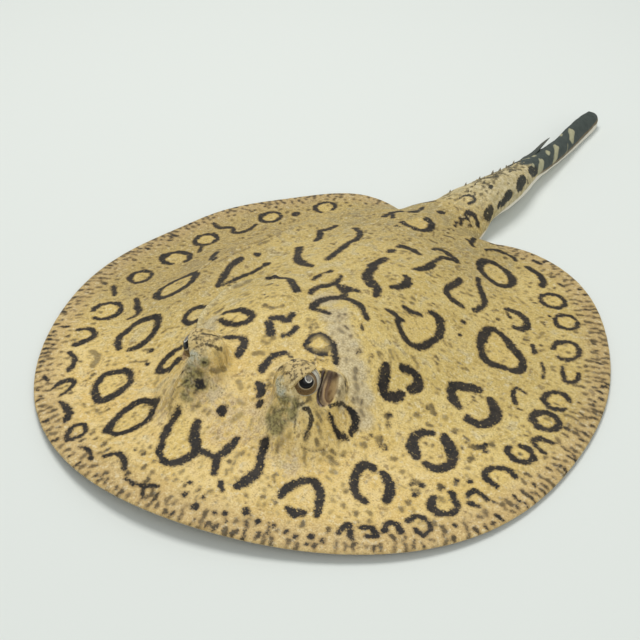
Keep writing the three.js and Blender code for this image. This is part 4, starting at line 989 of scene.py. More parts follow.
    (0.802086, 1.11994, 0, [41.3, -78.1]),
    (0.744338, 1.40107, 0, [41.6, -78.2]),
    (0.652866, 1.38115, 0, [40.7, -78.2]),
    (0.56027, 1.88054, 0, [41.4, -80.8]),
    (0.639404, 1.94733, 0, [42.3, -80.2]),
    (0.645919, 2.37105, 0, [43.4, -80.9]),
    (0.503862, 1.09494, 0, [43.2, -80.8]),
    (0.577328, 1.34316, 0, [43, -82.1]),
    (0.523789, 1.74766, 0, [45.4, -84.9]),
    (0.426951, 2.00756, 0, [44.5, -84.9]),
    (0.3796, 1.25777, 0, [44.6, -84.8]),
    (0.499877, 1.99134, 0, [44.2, -85.6]),
    (0.535342, 1.39606, 0, [44.7, -85.4]),
    (0.629081, 1.75388, 0, [52.7, -90.1]),
    (0.702708, 1.46615, 0, [52.9, -90.7]),
    (0.755441, 1.42134, 0, [52.9, -90.7]),
    (0.546578, 1.50358, 0, [53, -90.6]),
    (0.633282, 1.14722, 0, [45.1, -76.1]),
    (0.438782, 1.74161, 0, [44, -75.2]),
    (0.632855, 1.19478, 0, [44.7, -76.2]),
    (0.842433, 0.994178, 0, [48.2, -61.6]),
    (0.8569, 1.20902, 0, [48.3, -61.6]),
    (0.838907, 0.781894, 0, [48.1, -61.2]),
    (0.654142, 2.44809, 0, [48.2, -66.9]),
    (0.648513, 1.70597, 0, [47.5, -67.2]),
    (0.519535, 1.31065, 0, [48.6, -67.2]),
    (0.528307, 1.70383, 0, [66.1, -69.6]),
    (0.563615, 1.3618, 0, [66.2, -69.6]),
    (0.625047, 1.71226, 0, [65.9, -70.4]),
    (0.51477, 1.64741, 0, [59.1, -42]),
    (0.753643, 2.38572, 0, [58.7, -41.6]),
    (0.600281, 2.29228, 0, [58.5, -41.9]),
    (0.753867, 1.76413, 0, [58.8, -41.1]),
    (0.612823, 1.95526, 0, [86.5, -55]),
    (0.423396, 2.01905, 0, [86.6, -54.7]),
]


# ---------------------------------------------------------------- folds and openings, along the skin's normal
RIDGE = [-31.5, -61, -40, -47, -46.5, -34, -47.5, -22, -47.5, -12, -44, -6, -38, -3.5, -27.5, -4.5]
CRESTS = [[-70.8, 3.4, -69.7, 14.2, -66.6, 23.3, -59.7, 30.4, -57.1, 40.4, -54.5, 50, -51.6, 59.7, -49.2, 71.3, -41, 79.6],
          [-64, 26, -58.5, 36, -55.5, 47, -53, 56], [-55, 57, -50.5, 66, -45, 75, -37, 84], [-67, 8, -63.5, 18, -59.5, 26],
          [-44, 84, -34, 91, -26, 96]]
CREASES = [[-29.0, -91, -27.3, -87.8, -26.3, -86, -24.4, -83.6, -23.6, -81.5], [-31.5, -95, -29.8, -90, -29.2, -85.5, -28.4, -82], [-29, -95, -26.3, -90.5, -23.8, -87], [-30.5, -84, -28.6, -81, -27.4, -78], [38.6, -80, 36, -84, 32, -86.5],
           [-34, -74, -35.5, -67, -34.5, -60], [17, -60.5, 14.5, -66, 14.2, -72], [-17, -60.5, -14.5, -66, -14.2, -72]]
GILLS = [(31, -50), (31.5, -39), (30.6, -28.5), (28.6, -18), (25.6, -8)]


def field_near(M, flat, reach=5.0):
    """Distance to a line on the marking map, only where it is within reach."""
    p = curve(flat, False)
    d = np.full(len(M), 99.0)
    near = np.nonzero((M[:, 0] > p[:, 0].min() - reach) & (M[:, 0] < p[:, 0].max() + reach)
                      & (M[:, 1] > p[:, 1].min() - reach) & (M[:, 1] < p[:, 1].max() + reach))[0]
    q = M[near]
    best = np.full(len(near), 99.0)
    for a, b in zip(p[:-1], p[1:]):
        e = b - a
        t = np.clip(((q - a) @ e) / (e @ e + 1e-9), 0, 1)
        best = np.minimum(best, np.linalg.norm(q - a - t[:, None] * e, axis=1))
    d[near] = best
    return d


def hump(d, w):
    return np.exp(-(d / w) ** 2)


def normals(P, T):
    n = np.cross(P[T[:, 1]] - P[T[:, 0]], P[T[:, 2]] - P[T[:, 0]])
    out = np.stack([np.bincount(T.ravel(), np.repeat(n[:, k], 3), len(P)) for k in range(3)], -1)
    return out / (np.linalg.norm(out, axis=1)[:, None] + 1e-12)


def relief(W, T, K, M):
    x, y = W[:, 0], W[:, 1]
    th = np.arctan2(x, -y)
    rho = np.minimum(np.hypot(x, y) / outline(th), 1.0)
    N = normals(W, T)
    top, low, tail = K == 0, K == 1, K == 2
    d = np.zeros(len(W))
    # crease: the furrows of the folds, which get painted shade in the colour
    crease = np.zeros(len(W))
    pale = np.zeros(len(W))
    # the soft fold behind the right eye and its furrow on the outer side
    wob = 0.7 * noise3(W, 9.0, 3)
    e = field_near(M, RIDGE, 9)
    d += np.where(top, 1.7 * hump(e, 1.5), 0)
    pale = np.where(top, hump(e + 0.3 * wob, 1.6), 0)
    e2 = field_near(M - np.array([1.75, -0.5]), RIDGE, 6)
    fore = smooth(-22, -34, M[:, 1])
    d -= np.where(top, 0.45 * hump(e2, 0.7) * fore, 0)
    crease = np.where(top, 0.85 * hump(e2, 0.5) * fore * smooth(-0.55, 0.1, wob), 0)
    e2 = field_near(M + np.array([1.75, -0.5]), RIDGE, 6)
    d -= np.where(top, 0.8 * hump(e2, 0.9), 0)
    crease = np.maximum(crease, np.where(top, 1.0 * hump(e2, 0.7), 0))
    for k, line in enumerate(CRESTS):
        e = field_near(M + wob[:, None] * np.array([0.5, 0.3]), line, 6)
        d += np.where(top, -0.42 * hump(e, 0.75) + 0.3 * hump(e - 2.4, 1.5), 0)
        crease = np.maximum(crease, np.where(top, 0.9 * hump(e, 0.62) * smooth(-0.5, 0.3, wob + 0.2), 0))
    for k, line in enumerate(CREASES):
        e = field_near(M, line, 5)
        part = 0.55 if k in (0, 1, 2, 3) else 1.0
        d -= np.where(top, 0.42 * part * hump(e, 0.55), 0)
        crease = np.maximum(crease, np.where(top, (0.35 + 0.5 * part) * hump(e, 0.42) * smooth(-0.5, 0.3, wob + 0.2), 0))
    # rays of the fins: faint ribs that fan out to the margin, stronger near it
    fan = np.sin(104 * th + 2.2 * noise3(W, 34, 5) + 5 * rho)
    d += np.where(top, 0.085 * fan * smooth(0.55, 0.85, rho) * smooth(0.992, 0.955, rho), 0)
    d += np.where(top, 0.5 * noise3(W, 26, 7) * smooth(0.35, 0.7, rho) * smooth(0.985, 0.9, rho), 0)
    d += np.where(top, 0.16 * noise3(W, 6.5, 8) * smooth(0.99, 0.93, rho), 0)
    # thick skin folds on the trunk in front of the tail
    e = np.sin(0.9 * x - 0.62 * y + 3.1 * noise3(W, 15, 9))
    d += np.where(top, 0.16 * e * smooth(20, 52, y) * smooth(112, 96, y) * smooth(52, 34, np.abs(x)), 0)
    d += np.where(tail, 0.22 * noise3(W, 7, 10) * smooth(118, 130, y), 0)
    # fine grain in relief
    d += np.where(low, 0.03, 0.055) * noise3(W, 1.9, 11)
    # ---- underside
    ax = np.abs(x)
    mouth_y = -74.5 + 2.4 * (ax / 11.5) ** 2
    m = hump(y - mouth_y, 1.0) * smooth(12.6, 10.4, ax)
    up = np.where(low, 1.3 * m, 0)
    lips = np.where(low, 0.45 * hump(y - mouth_y + 2.6, 1.5) * smooth(12.5, 9, ax) + 0.45 * hump(y - mouth_y - 2.6, 1.5) * smooth(12.5, 9, ax), 0)
    nose = hump(np.hypot((ax - 10.2) / 2.6, (y + 85.0) / 1.5), 1.0)
    up += np.where(low, 1.6 * nose, 0)
    edge_c = np.exp(-((np.hypot(ax / 9.4, (y + 80.3) / 5.2) - 1) / 0.11) ** 2) * (y > -82.5)
    up += np.where(low, 0.55 * edge_c, 0)
    gill = np.zeros(len(W))
    for gx, gy in GILLS:
        t = (y - gy) - 0.35 * (ax - gx) + 0.05 * (ax - gx) ** 2
        gill = np.maximum(gill, hump(t, 1.5) * smooth(5.4, 3.4, np.abs(ax - gx)))
    up += np.where(low, 1.0 * gill, 0)
    vent = hump(x, 1.5) * smooth(5.2, 3, np.abs(y - 95))
    up += np.where(low, 1.1 * vent, 0)
    e = np.hypot((ax - 22.5) / 12.5, (y - 101.5) / 13.0)
    pelvic = np.exp(-((e - 1) / 0.075) ** 2) * smooth(9, 14, ax + 0.3 * (y - 90))
    pelvic = np.maximum(pelvic, 0) * smooth(83, 92, y)
    up += np.where(low, 0.6 * pelvic, 0)
    d -= up
    for side in (1, -1):
        sp = pit_place(W * np.array([side, 1, 1.0]))
        e = np.linalg.norm(sp / np.array([PIT_R[0], PIT_R[1], PIT_R[2] + 0.6]), axis=1)
        inside = np.where(top & (x * side > 0), smooth(1.05, 0.9, e) * smooth(0.3, -1.4, sp[:, 2]), 0)
        d += inside * 0.5 * np.sin(3.3 * sp[:, 0] + 0.5 * np.sin(0.5 * sp[:, 1])) * smooth(0.5, 1.3, np.abs(sp[:, 0]))
    P = W + N * d[:, None]
    # nothing reaches below the floor
    P[:, 2] = np.where((P[:, 2] < 0.0) & (W[:, 2] >= 0), 0.0, P[:, 2])
    dark_low = np.clip(m * 0.9 + nose + 0.75 * gill + 0.8 * vent + 0.3 * pelvic + 0.25 * edge_c, 0, 1) * low
    return P, crease, pale, dark_low, rho, th, lips


# small dark spots and lines on the steep sides of the eye mounds: centre, radius, strength
SPOTS = [
    (-16.2, -81.6, 26.1, 1.9, 1), (-17.1, -81.5, 27, 1.3, 0.9), (-15.1, -81.3, 25.4, 1.2, 0.9), (-15.8, -78, 34, 0.8, 0.75), (-13.7, -76.5, 30.3, 1, 0.6), (-13, -75.3, 29.9, 1, 0.6),
    (-12.4, -74.2, 29.9, 1, 0.6), (-12, -73.2, 29.3, 1, 0.6), (-11.8, -72.3, 29, 1, 0.6), (-11.4, -71.4, 28.2, 1, 0.6), (-11.3, -70.3, 28.3, 1, 0.6), (-13.5, -76.5, 29.3, 0.7, 0.6),
    (-13.2, -76, 29.3, 0.7, 0.6), (-12.9, -75.5, 29.2, 0.7, 0.6), (-12.6, -75.1, 28.7, 0.7, 0.6), (-12.3, -74.4, 28.5, 0.7, 0.6), (-12.1, -73.9, 28.5, 0.7, 0.6), (-11.8, -73.1, 28.2, 0.7, 0.6),
    (-11.6, -72.4, 28.1, 0.7, 0.6), (-20.9, -70.9, 41.7, 0.55, 0.85), (-20.6, -70.6, 41.6, 0.55, 0.85), (-20.2, -70.4, 41.6, 0.55, 0.85), (-19.9, -70.1, 41.5, 0.55, 0.85), (-19.4, -69.9, 41.4, 0.55, 0.85),
    (-19.1, -69.6, 41.3, 0.55, 0.85), (-18.8, -69.3, 41.2, 0.55, 0.85), (-18.4, -69.1, 41.1, 0.55, 0.85), (-17.9, -68.7, 40.9, 0.55, 0.85), (-17.5, -68.4, 40.7, 0.55, 0.85), (-17.2, -68.1, 40.5, 0.55, 0.85),
    (-16.8, -67.7, 40.2, 0.55, 0.85), (-16.3, -67.4, 39.8, 0.55, 0.85), (-15.9, -67.1, 39.4, 0.55, 0.85), (-17.1, -73.6, 39.9, 0.85, 0.85), (-16, -73.2, 39.4, 0.85, 0.85), (-15.4, -72.7, 39.1, 0.85, 0.85),
    (-14.5, -72.3, 38.5, 0.85, 0.85), (-13.9, -71.9, 38, 0.85, 0.85), (-13.5, -71.4, 37.6, 0.85, 0.85), (-13.2, -70.7, 37.1, 0.85, 0.85), (-12.9, -70.1, 36.5, 0.85, 0.85), (-20.8, -75.2, 40.1, 0.6, 0.8),
    (-19.2, -76, 39.2, 0.5, 0.7), (-22.3, -74.5, 40.7, 0.5, 0.7), (27.1, -76.8, 26.9, 0.95, 0.95), (27.6, -76.4, 26.5, 0.95, 0.95), (28.1, -75.7, 26.3, 0.95, 0.95), (28.6, -75.6, 25.8, 0.95, 0.95),
    (29.3, -75.7, 24.9, 0.95, 0.95), (29.9, -75.9, 24.2, 0.95, 0.95), (30.4, -76.6, 23.2, 0.95, 0.95), (30.8, -77.2, 22.5, 0.95, 0.95), (30.9, -78, 21.9, 0.95, 0.95), (31, -79, 21.2, 0.95, 0.95),
    (30.8, -80.6, 20.5, 0.65, 0.8), (30.9, -81, 20.2, 0.65, 0.8), (30.9, -81.6, 19.9, 0.65, 0.8), (31, -82.2, 19.5, 0.65, 0.8), (31, -82.6, 19.2, 0.65, 0.8), (26.9, -82.1, 24.9, 0.5, 0.75),
    (26.9, -82.6, 24.7, 0.5, 0.75), (27.1, -83, 24.3, 0.5, 0.75), (27.1, -83.5, 24, 0.5, 0.75), (27.2, -83.9, 23.7, 0.5, 0.75), (27.4, -84.3, 23.3, 0.5, 0.75), (27.7, -84.6, 22.8, 0.5, 0.75),
    (28, -85.1, 22, 0.5, 0.75), (34.1, -68.5, 25.1, 1, 0.95), (34.6, -67.7, 25.2, 1, 0.95), (34.9, -66.7, 25.1, 1, 0.95), (35, -65.5, 24.4, 1, 0.95), (35.1, -64.8, 24.1, 1, 0.95),
    (35.2, -64.2, 23.5, 1, 0.95), (35.2, -62.9, 22.7, 1, 0.95), (35.2, -62.1, 22.2, 1, 0.95), (35.2, -61.3, 21.8, 1, 0.95), (35.4, -60.4, 20.7, 1, 0.95), (35.9, -59.9, 19.9, 1, 0.95),
    (36.4, -59.4, 19.3, 1, 0.95), (25.3, -78.6, 28.9, 0.5, 0.8), (25.4, -78.1, 28.8, 0.5, 0.8), (25.5, -77.7, 28.8, 0.5, 0.8), (25.8, -77.1, 28.4, 0.5, 0.8), (26.1, -76.8, 28.2, 0.5, 0.8),
    (26.1, -76.4, 28.3, 0.5, 0.8), (26.2, -75.9, 28.5, 0.5, 0.8), (26.6, -75.4, 28.2, 0.5, 0.8), (26.7, -75, 28.3, 0.5, 0.8), (27, -74.3, 28.3, 0.5, 0.8), (27.2, -73.9, 28.3, 0.5, 0.8),
    (-23.4, -81.3, 30.5, 0.42, 0.85), (-23.6, -81.5, 30.2, 0.42, 0.85), (-23.8, -81.7, 29.9, 0.42, 0.85), (-24, -81.9, 29.6, 0.42, 0.85), (-24.1, -82.1, 29.3, 0.42, 0.85), (-24.4, -82.3, 29, 0.42, 0.85),
    (-24.6, -82.4, 28.7, 0.42, 0.85), (-24.9, -82.8, 28, 0.42, 0.85), (-25.1, -83, 27.6, 0.42, 0.85), (-25.2, -83.3, 27.2, 0.42, 0.85), (-25.4, -83.6, 26.6, 0.42, 0.85), (-25.6, -83.7, 26.3, 0.42, 0.85),
    (-25.9, -83.9, 25.7, 0.42, 0.85), (-26.2, -84, 25.4, 0.42, 0.85), (-26.5, -83.9, 24.9, 0.42, 0.85), (-27.5, -83.1, 23.6, 0.42, 0.85), (-27.9, -83, 23, 0.42, 0.85), (-28.1, -83.1, 22.7, 0.42, 0.85),
    (-28.1, -83.4, 22.6, 0.42, 0.85), (-28.3, -83.5, 22.3, 0.42, 0.85), (-28.4, -83.6, 22, 0.42, 0.85), (-20.9, -83.4, 27.1, 0.38, 0.75), (-21.3, -83.5, 27.1, 0.38, 0.75), (-21.4, -83.8, 26.7, 0.38, 0.75),
    (-21.7, -83.9, 26.7, 0.38, 0.75), (-21.8, -84.2, 26.2, 0.38, 0.75), (-22.1, -84.3, 26.1, 0.38, 0.75), (-22.6, -84.5, 25.8, 0.38, 0.75), (-22.9, -84.7, 25.5, 0.38, 0.75), (-23.2, -84.8, 25.3, 0.38, 0.75),
    (-23.5, -85.1, 24.9, 0.38, 0.75), (-23.7, -85.2, 24.7, 0.38, 0.75), (-24, -85.3, 24.5, 0.38, 0.75), (-24.3, -85.5, 24.1, 0.38, 0.75), (-24.7, -85.6, 23.9, 0.38, 0.75), (-24.8, -85.7, 23.6, 0.38, 0.75),
    (-24.9, -85.9, 23.4, 0.38, 0.75), (-25.2, -86, 23.1, 0.38, 0.75), (-25.5, -86.4, 22.4, 0.38, 0.75), (-25.6, -86.5, 22.1, 0.38, 0.75), (-25.7, -86.7, 21.9, 0.38, 0.75), (-25.9, -86.8, 21.6, 0.38, 0.75),
    (-26, -87.1, 21.1, 0.38, 0.75), (-26.3, -87.3, 20.6, 0.38, 0.75), (-26.4, -87.7, 20.1, 0.38, 0.75), (-26.9, -87.8, 19.5, 0.38, 0.75), (-26.8, -88.2, 19.1, 0.38, 0.75), (-26.7, -88.6, 18.6, 0.38, 0.75),
    (-26.8, -88.9, 18.2, 0.38, 0.75), (-26.5, -89, 18.2, 0.38, 0.75), (-26.4, -89.4, 17.8, 0.38, 0.75), (-26.5, -89.7, 17.3, 0.38, 0.75), (-47.3, -39, 18.6, 0.36, 0.85), (-46.8, -38.6, 19, 0.36, 0.85),
    (-47, -38.4, 18.9, 0.36, 0.85), (-46.7, -37.7, 19.3, 0.36, 0.85), (-46.8, -37.4, 19.2, 0.36, 0.85), (-47.2, -36.9, 19.1, 0.36, 0.85), (-46.7, -36.5, 19.5, 0.36, 0.85), (-47, -36, 19.4, 0.36, 0.85),
    (-46.7, -35.4, 19.7, 0.36, 0.85), (-46.8, -35.1, 19.7, 0.36, 0.85), (-47.2, -34.6, 19.6, 0.36, 0.85), (-46.6, -34.2, 19.9, 0.36, 0.85), (-47, -33.7, 19.9, 0.36, 0.85), (-46.7, -32.8, 20.1, 0.36, 0.85),
    (-47, -32.3, 20, 0.36, 0.85), (-46.8, -31.5, 20.3, 0.36, 0.85), (-47, -31.2, 20.3, 0.36, 0.85), (-47.2, -30.7, 20.2, 0.36, 0.85), (-47, -29.9, 20.4, 0.36, 0.85), (-47.1, -29.6, 20.4, 0.36, 0.85),
    (-47.4, -29.1, 20.3, 0.36, 0.85), (-47.7, -28.6, 20.2, 0.36, 0.85), (-47.4, -27.7, 20.4, 0.36, 0.85), (-47.9, -26.7, 20.3, 0.36, 0.85), (-48.1, -26.2, 20.2, 0.36, 0.85), (-48.6, -25.2, 20.1, 0.36, 0.85),
    (-47.5, -25.3, 20.6, 0.36, 0.85), (-47.8, -24.8, 20.5, 0.36, 0.85), (-48.2, -23.7, 20.4, 0.36, 0.85), (-48.4, -23.2, 20.3, 0.36, 0.85), (-35.3, -42.7, 25.2, 0.34, 0.75), (-35.7, -42.3, 25.1, 0.34, 0.75),
    (-35, -41.6, 25.7, 0.34, 0.75), (-35.5, -41.2, 25.5, 0.34, 0.75), (-34.8, -40.5, 26.1, 0.34, 0.75), (-35.2, -40.1, 25.9, 0.34, 0.75), (-34.9, -39, 26.3, 0.34, 0.75), (-35.3, -38.6, 26.2, 0.34, 0.75),
    (-34.7, -37.9, 26.7, 0.34, 0.75), (-35, -37.5, 26.6, 0.34, 0.75), (-34.4, -36.8, 27.1, 0.34, 0.75), (-34.7, -36.4, 26.9, 0.34, 0.75), (-33.7, -36.1, 27.5, 0.34, 0.75), (-34.4, -35.3, 27.3, 0.34, 0.75),
    (-33, -35.3, 28, 0.34, 0.75), (-33.4, -35, 27.8, 0.34, 0.75), (-32.7, -34.3, 28.3, 0.34, 0.75), (-23.1, -70.6, 42, 0.34, 0.7), (-22.8, -70.3, 42, 0.34, 0.7), (-22.7, -69.9, 42, 0.34, 0.7),
    (-22.6, -69.6, 42, 0.34, 0.7), (-22.5, -69.2, 41.9, 0.34, 0.7), (-22.3, -68.9, 41.9, 0.34, 0.7), (-22.2, -68.5, 41.8, 0.34, 0.7), (-22.1, -68.1, 41.7, 0.34, 0.7), (-22, -67.7, 41.5, 0.34, 0.7),
    (-22, -67.1, 41.3, 0.34, 0.7), (-22, -66.5, 40.9, 0.34, 0.7), (-36.3, -44.9, 24, 0.34, 0.7), (-35.8, -45.3, 24.1, 0.34, 0.7), (-35.2, -45, 24.6, 0.34, 0.7), (-34.8, -45.4, 24.7, 0.34, 0.7),
    (-34.6, -44.7, 25.1, 0.34, 0.7), (-34.1, -45, 25.2, 0.34, 0.7), (-34.6, -44.7, 25.1, 0.34, 0.7), (-33.5, -44.3, 25.8, 0.34, 0.7), (-19.9, -85, 24.3, 0.3, 0.6), (-19.7, -85, 24.1, 0.3, 0.6),
    (-19.6, -85.2, 23.8, 0.3, 0.6), (-19.3, -85.4, 23.4, 0.3, 0.6), (-19.2, -85.8, 22.8, 0.3, 0.6), (-19, -86.2, 22.2, 0.3, 0.6), (-18.8, -86.2, 22, 0.3, 0.6), (-18.6, -86.3, 21.9, 0.3, 0.6),
    (-18.4, -86.3, 21.7, 0.3, 0.6), (7.4, -68.3, 26.1, 0.35, 0.7), (7.3, -68.9, 25.9, 0.35, 0.7), (7.3, -69.3, 25.8, 0.35, 0.7), (7.5, -69.6, 25.8, 0.35, 0.7), (7.4, -69.9, 25.6, 0.35, 0.7),
    (7.4, -70.6, 25.5, 0.35, 0.7), (7.5, -70.9, 25.4, 0.35, 0.7), (7.5, -71.2, 25.3, 0.35, 0.7), (7.5, -71.5, 25.2, 0.35, 0.7), (7.6, -71.9, 25.1, 0.35, 0.7), (7.7, -72.5, 25, 0.35, 0.7),
    (7.7, -72.8, 24.9, 0.35, 0.7), (7.7, -73.2, 24.8, 0.35, 0.7), (7.8, -73.5, 24.7, 0.35, 0.7), (7.8, -73.8, 24.6, 0.35, 0.7), (7.8, -74.1, 24.5, 0.35, 0.7), (7.7, -74.8, 24.2, 0.35, 0.7),
    (7.5, -75.1, 24.1, 0.35, 0.7), (7.6, -75.8, 23.9, 0.35, 0.7), (7.7, -76.4, 23.7, 0.35, 0.7), (7.7, -77.1, 23.4, 0.35, 0.7), (7.8, -77.7, 23.1, 0.35, 0.7), (-23.8, -72.3, 41.5, 0.4, 0.7),
    (-23.2, -72.7, 41.5, 0.4, 0.7), (-22.9, -73, 41.4, 0.4, 0.7), (-22.4, -73.3, 41.3, 0.4, 0.7), (-22.1, -73.6, 41.1, 0.4, 0.7), (-21.8, -73.7, 41.1, 0.4, 0.7), (-21.6, -74.1, 40.9, 0.4, 0.7),
    (-21.6, -74.5, 40.6, 0.4, 0.7), (-21.4, -74.8, 40.5, 0.4, 0.7), (-20.6, -73.6, 41, 0.35, 0.7), (-20.2, -73.7, 40.8, 0.35, 0.7), (-19.9, -74, 40.6, 0.35, 0.7), (-19.5, -74.2, 40.4, 0.35, 0.7),
    (-19.3, -74.4, 40.3, 0.35, 0.7), (-19, -74.6, 40.1, 0.35, 0.7), (14.7, -73.1, 38.4, 0.42, 0.85), (16.6, -73.3, 39.8, 0.42, 0.85), (19.4, -74.6, 40.2, 0.42, 0.85), (19.4, -75.7, 39.5, 0.42, 0.85),
    (20.7, -72.7, 41.3, 0.42, 0.85), (22.7, -74.3, 40.7, 0.42, 0.85), (23.2, -70.8, 42, 0.42, 0.85), (25, -71.6, 41.4, 0.42, 0.85), (24.9, -68.8, 41.6, 0.42, 0.85), (24.9, -66.2, 40.3, 0.42, 0.85),
    (16.3, -51.5, 29.6, 0.42, 0.85), (22.5, -67, 41.2, 0.42, 0.85), (5.5, -52.4, 29.6, 0.85, 0.95), (6.6, -52.3, 29.6, 0.85, 0.95), (7.3, -53.2, 29.5, 0.85, 0.95), (8.4, -53, 29.5, 0.85, 0.95),
    (17.4, -67.7, 40.5, 0.85, 0.95), (18.2, -68.5, 41, 0.85, 0.95), (18.9, -69.1, 41.2, 0.85, 0.95), (19.3, -69.7, 41.4, 0.85, 0.95),
]


def zones(W, T, K, M, N, rho, th):
    """Shares from 0 to 1 of the colour zones at each vertex."""
    x, y, z = W[:, 0], W[:, 1], W[:, 2]
    top, low, tail = K == 0, K == 1, K == 2
    z_ = {}

    def blobs(list_, soft=1.0):
        out = np.zeros(len(W))
        for u, v, r in list_:
            d = np.hypot(M[:, 0] - u, M[:, 1] - v) / r
            out = np.maximum(out, smooth(1.35, 0.55, d) * soft)
        return np.where(low, 0, out)

    z_["grey"] = blobs([(2.3, -14, 6), (12.6, -24.6, 6.5), (18.9, -32, 6), (24.5, -37.5, 6.5), (31, -45, 7), (38, -51, 6), (42.5, -58, 5), (29.9, -57.5, 4.5), (33.0, -61.5, 4.0),
                        (-36, -47, 5), (-38, -40, 4)])
    z_["pinkgrey"] = blobs([(-12, -82, 8), (-2, -84, 8), (9, -86.4, 8), (10, -77, 6), (1, -92, 7), (20, -89, 7), (-18, -82, 6), (-30, -90, 6), (30, -93, 5)], 0.85)

    def balls(list_):
        out = np.zeros(len(W))
        for bx, by, bz, r in list_:
            out = np.maximum(out, smooth(1.3, 0.55, np.linalg.norm(W - np.array([bx, by, bz]), axis=1) / r))
        return np.where(top, out, 0)

    # pale bluish-grey patch on the top of each eye mound: a pale skin tone with a painted highlight
    z_["blue"] = balls([(-20.6, -79.0, 35.2, 3.3), (17.3, -77.8, 36.2, 2.7), (18.9, -79.2, 34.2, 2.5)])
    # dark greenish-brown zone low on the sides of the eye mounds, under their pale tops: painted shade with a
    # greenish-brown tone
    z_["olive"] = balls([(-20.5, -81, 31, 2.8), (-18, -80.8, 29, 3.4), (-15.8, -81.5, 26, 3.4), (-20, -83.4, 26.6, 3.4), (-15.9, -78, 34, 2.4), (-19.3, -86, 22.5, 3.2),
                         (19.6, -80.6, 32.2, 2.6), (22.0, -80.9, 31.0, 3.2), (24.8, -80.0, 30.0, 3.0), (17.9, -83.6, 25, 4.6), (21.7, -84.1, 26.3, 4.4), (25, -82.6, 28, 3.4), (20.4, -86.6, 22, 4.0)])
    brow = np.zeros(len(W))
    for m in (1, -1):
        c = EYE_AT * np.array([m, 1, 1])
        dv = W - c
        r = np.linalg.norm(dv, axis=1) + 1e-9
        brow = np.maximum(brow, smooth(11.5, 8.5, r) * smooth(0.15, 0.55, dv[:, 2] / r) * smooth(-0.6, -0.1, dv @ (EYE_LOOK * np.array([m, 1, 1])) / r))
    z_["brow"] = np.where(top, brow, 0)
    head = np.nonzero(top & (np.hypot(np.abs(x) - 24, y + 72) < 34))[0]
    H = W[head] + 0.45 * np.stack([noise3(W[head], 1.1, 60 + k) for k in range(3)], -1)
    spot = np.zeros(len(head))
    for sx, sy, sz, r, s in SPOTS:
        spot = np.maximum(spot, s * smooth(r + 0.3, r - 0.3, np.linalg.norm(H - np.array([sx, sy, sz]), axis=1)))
    z_["spot"] = np.zeros(len(W))
    z_["spot"][head] = spot
    pit = np.zeros(len(W))
    lip = np.zeros(len(W))
    for m in (1, -1):
        s = pit_place(W * np.array([m, 1, 1.0]))
        e = np.linalg.norm(s / np.array([PIT_R[0] + 0.35, PIT_R[1] + 0.35, PIT_R[2] + 0.5]), axis=1)
        pit = np.maximum(pit, smooth(1.06, 0.94, e) * smooth(1.8, -0.5, s[:, 2]))
        if m > 0:
            s_left = s
    z_["pit"] = np.where(top, pit, 0)
    z_["pit_a"] = np.where(top, pit_place(W * np.array([1, 1, 1.0]))[:, 0] * (x > 0) + pit_place(W * np.array([-1, 1, 1.0]))[:, 0] * (x <= 0), 0)
    z_["pit_d"] = np.where(top, -np.minimum(pit_place(np.abs(W) * np.array([1, 0, 1]) + W * np.array([0, 1, 0]))[:, 2], 0), 0)
    away_tail = smooth(11, 19, np.abs(wrap(th - np.pi)) / RAD)
    al = np.where(x > 0, pit_place(W)[:, 1], pit_place(W * np.array([-1, 1, 1.0]))[:, 1])
    z_["pit_l"] = np.where(top, al, 0)
    z_["margin"] = np.where(tail, 0, smooth(0.86, 0.97, rho) * np.where(low, smooth(0.9, 0.97, rho), 1)) * away_tail
    z_["belly"] = np.where(low, 1.0, 0.0)
    x0, z0, a, b, roll, slope, pinch = tail_section(np.maximum(M[:, 1], 130.0))
    k = np.arctan(slope)
    across = (x - x0) * np.cos(k) - (y - np.maximum(M[:, 1], 130)) * np.sin(k)
    wv = -across * np.sin(roll) + (z - z0) * np.cos(roll)
    uv = across * np.cos(roll) + (z - z0) * np.sin(roll)
    edge_at = np.interp(M[:, 1], [112, 125, 133, 145, 160, 171, 184, 190, 197, 220, 240, 264], [3.4, 5.4, 6.4, 7.8, 8.6, 8.8, 7.7, 6.8, 5.6, 3.8, 2.9, 2.9])
    edge_at = np.where(uv > 0, edge_at, 0.4 * edge_at)
    z_["belly"] = np.where(tail, smooth(edge_at + 0.5, edge_at - 0.3, z - tail_low(np.maximum(M[:, 1], 130.0)) + 0.35 * noise3(W, 4, 33)), z_["belly"])
    z_["side"] = np.where(tail, hump(z - tail_low(np.maximum(M[:, 1], 130.0)) - edge_at - 0.9, 0.5) * (uv > 0) * smooth(182, 192, y), 0)
    v = M[:, 1] - np.where(uv > 0, 1.25, -0.4) * np.abs(M[:, 0] - 22)
    z_["tdark"] = np.where(tail, smooth(174.5, 179.5, v + 3.0 * noise3(W, 4, 31)), 0)
    z_["tail"] = np.where(tail, smooth(112, 140, y), 0)
    z_["bars"] = np.zeros(len(W))
    z_["forward"] = np.where(tail, 0, smooth(-20, -90, y))
    z_["far"] = np.where(low | tail, 0, smooth(-50, 5, y))
    z_["trunk"] = np.where(low, 0, np.maximum(np.where(top, smooth(30, 80, y) * smooth(60, 38, np.abs(x)), 0), np.where(tail, 1, 0)))
    z_["right"] = np.where(low, 0, smooth(-38, -70, x) * smooth(-60, 0, y))
    return z_


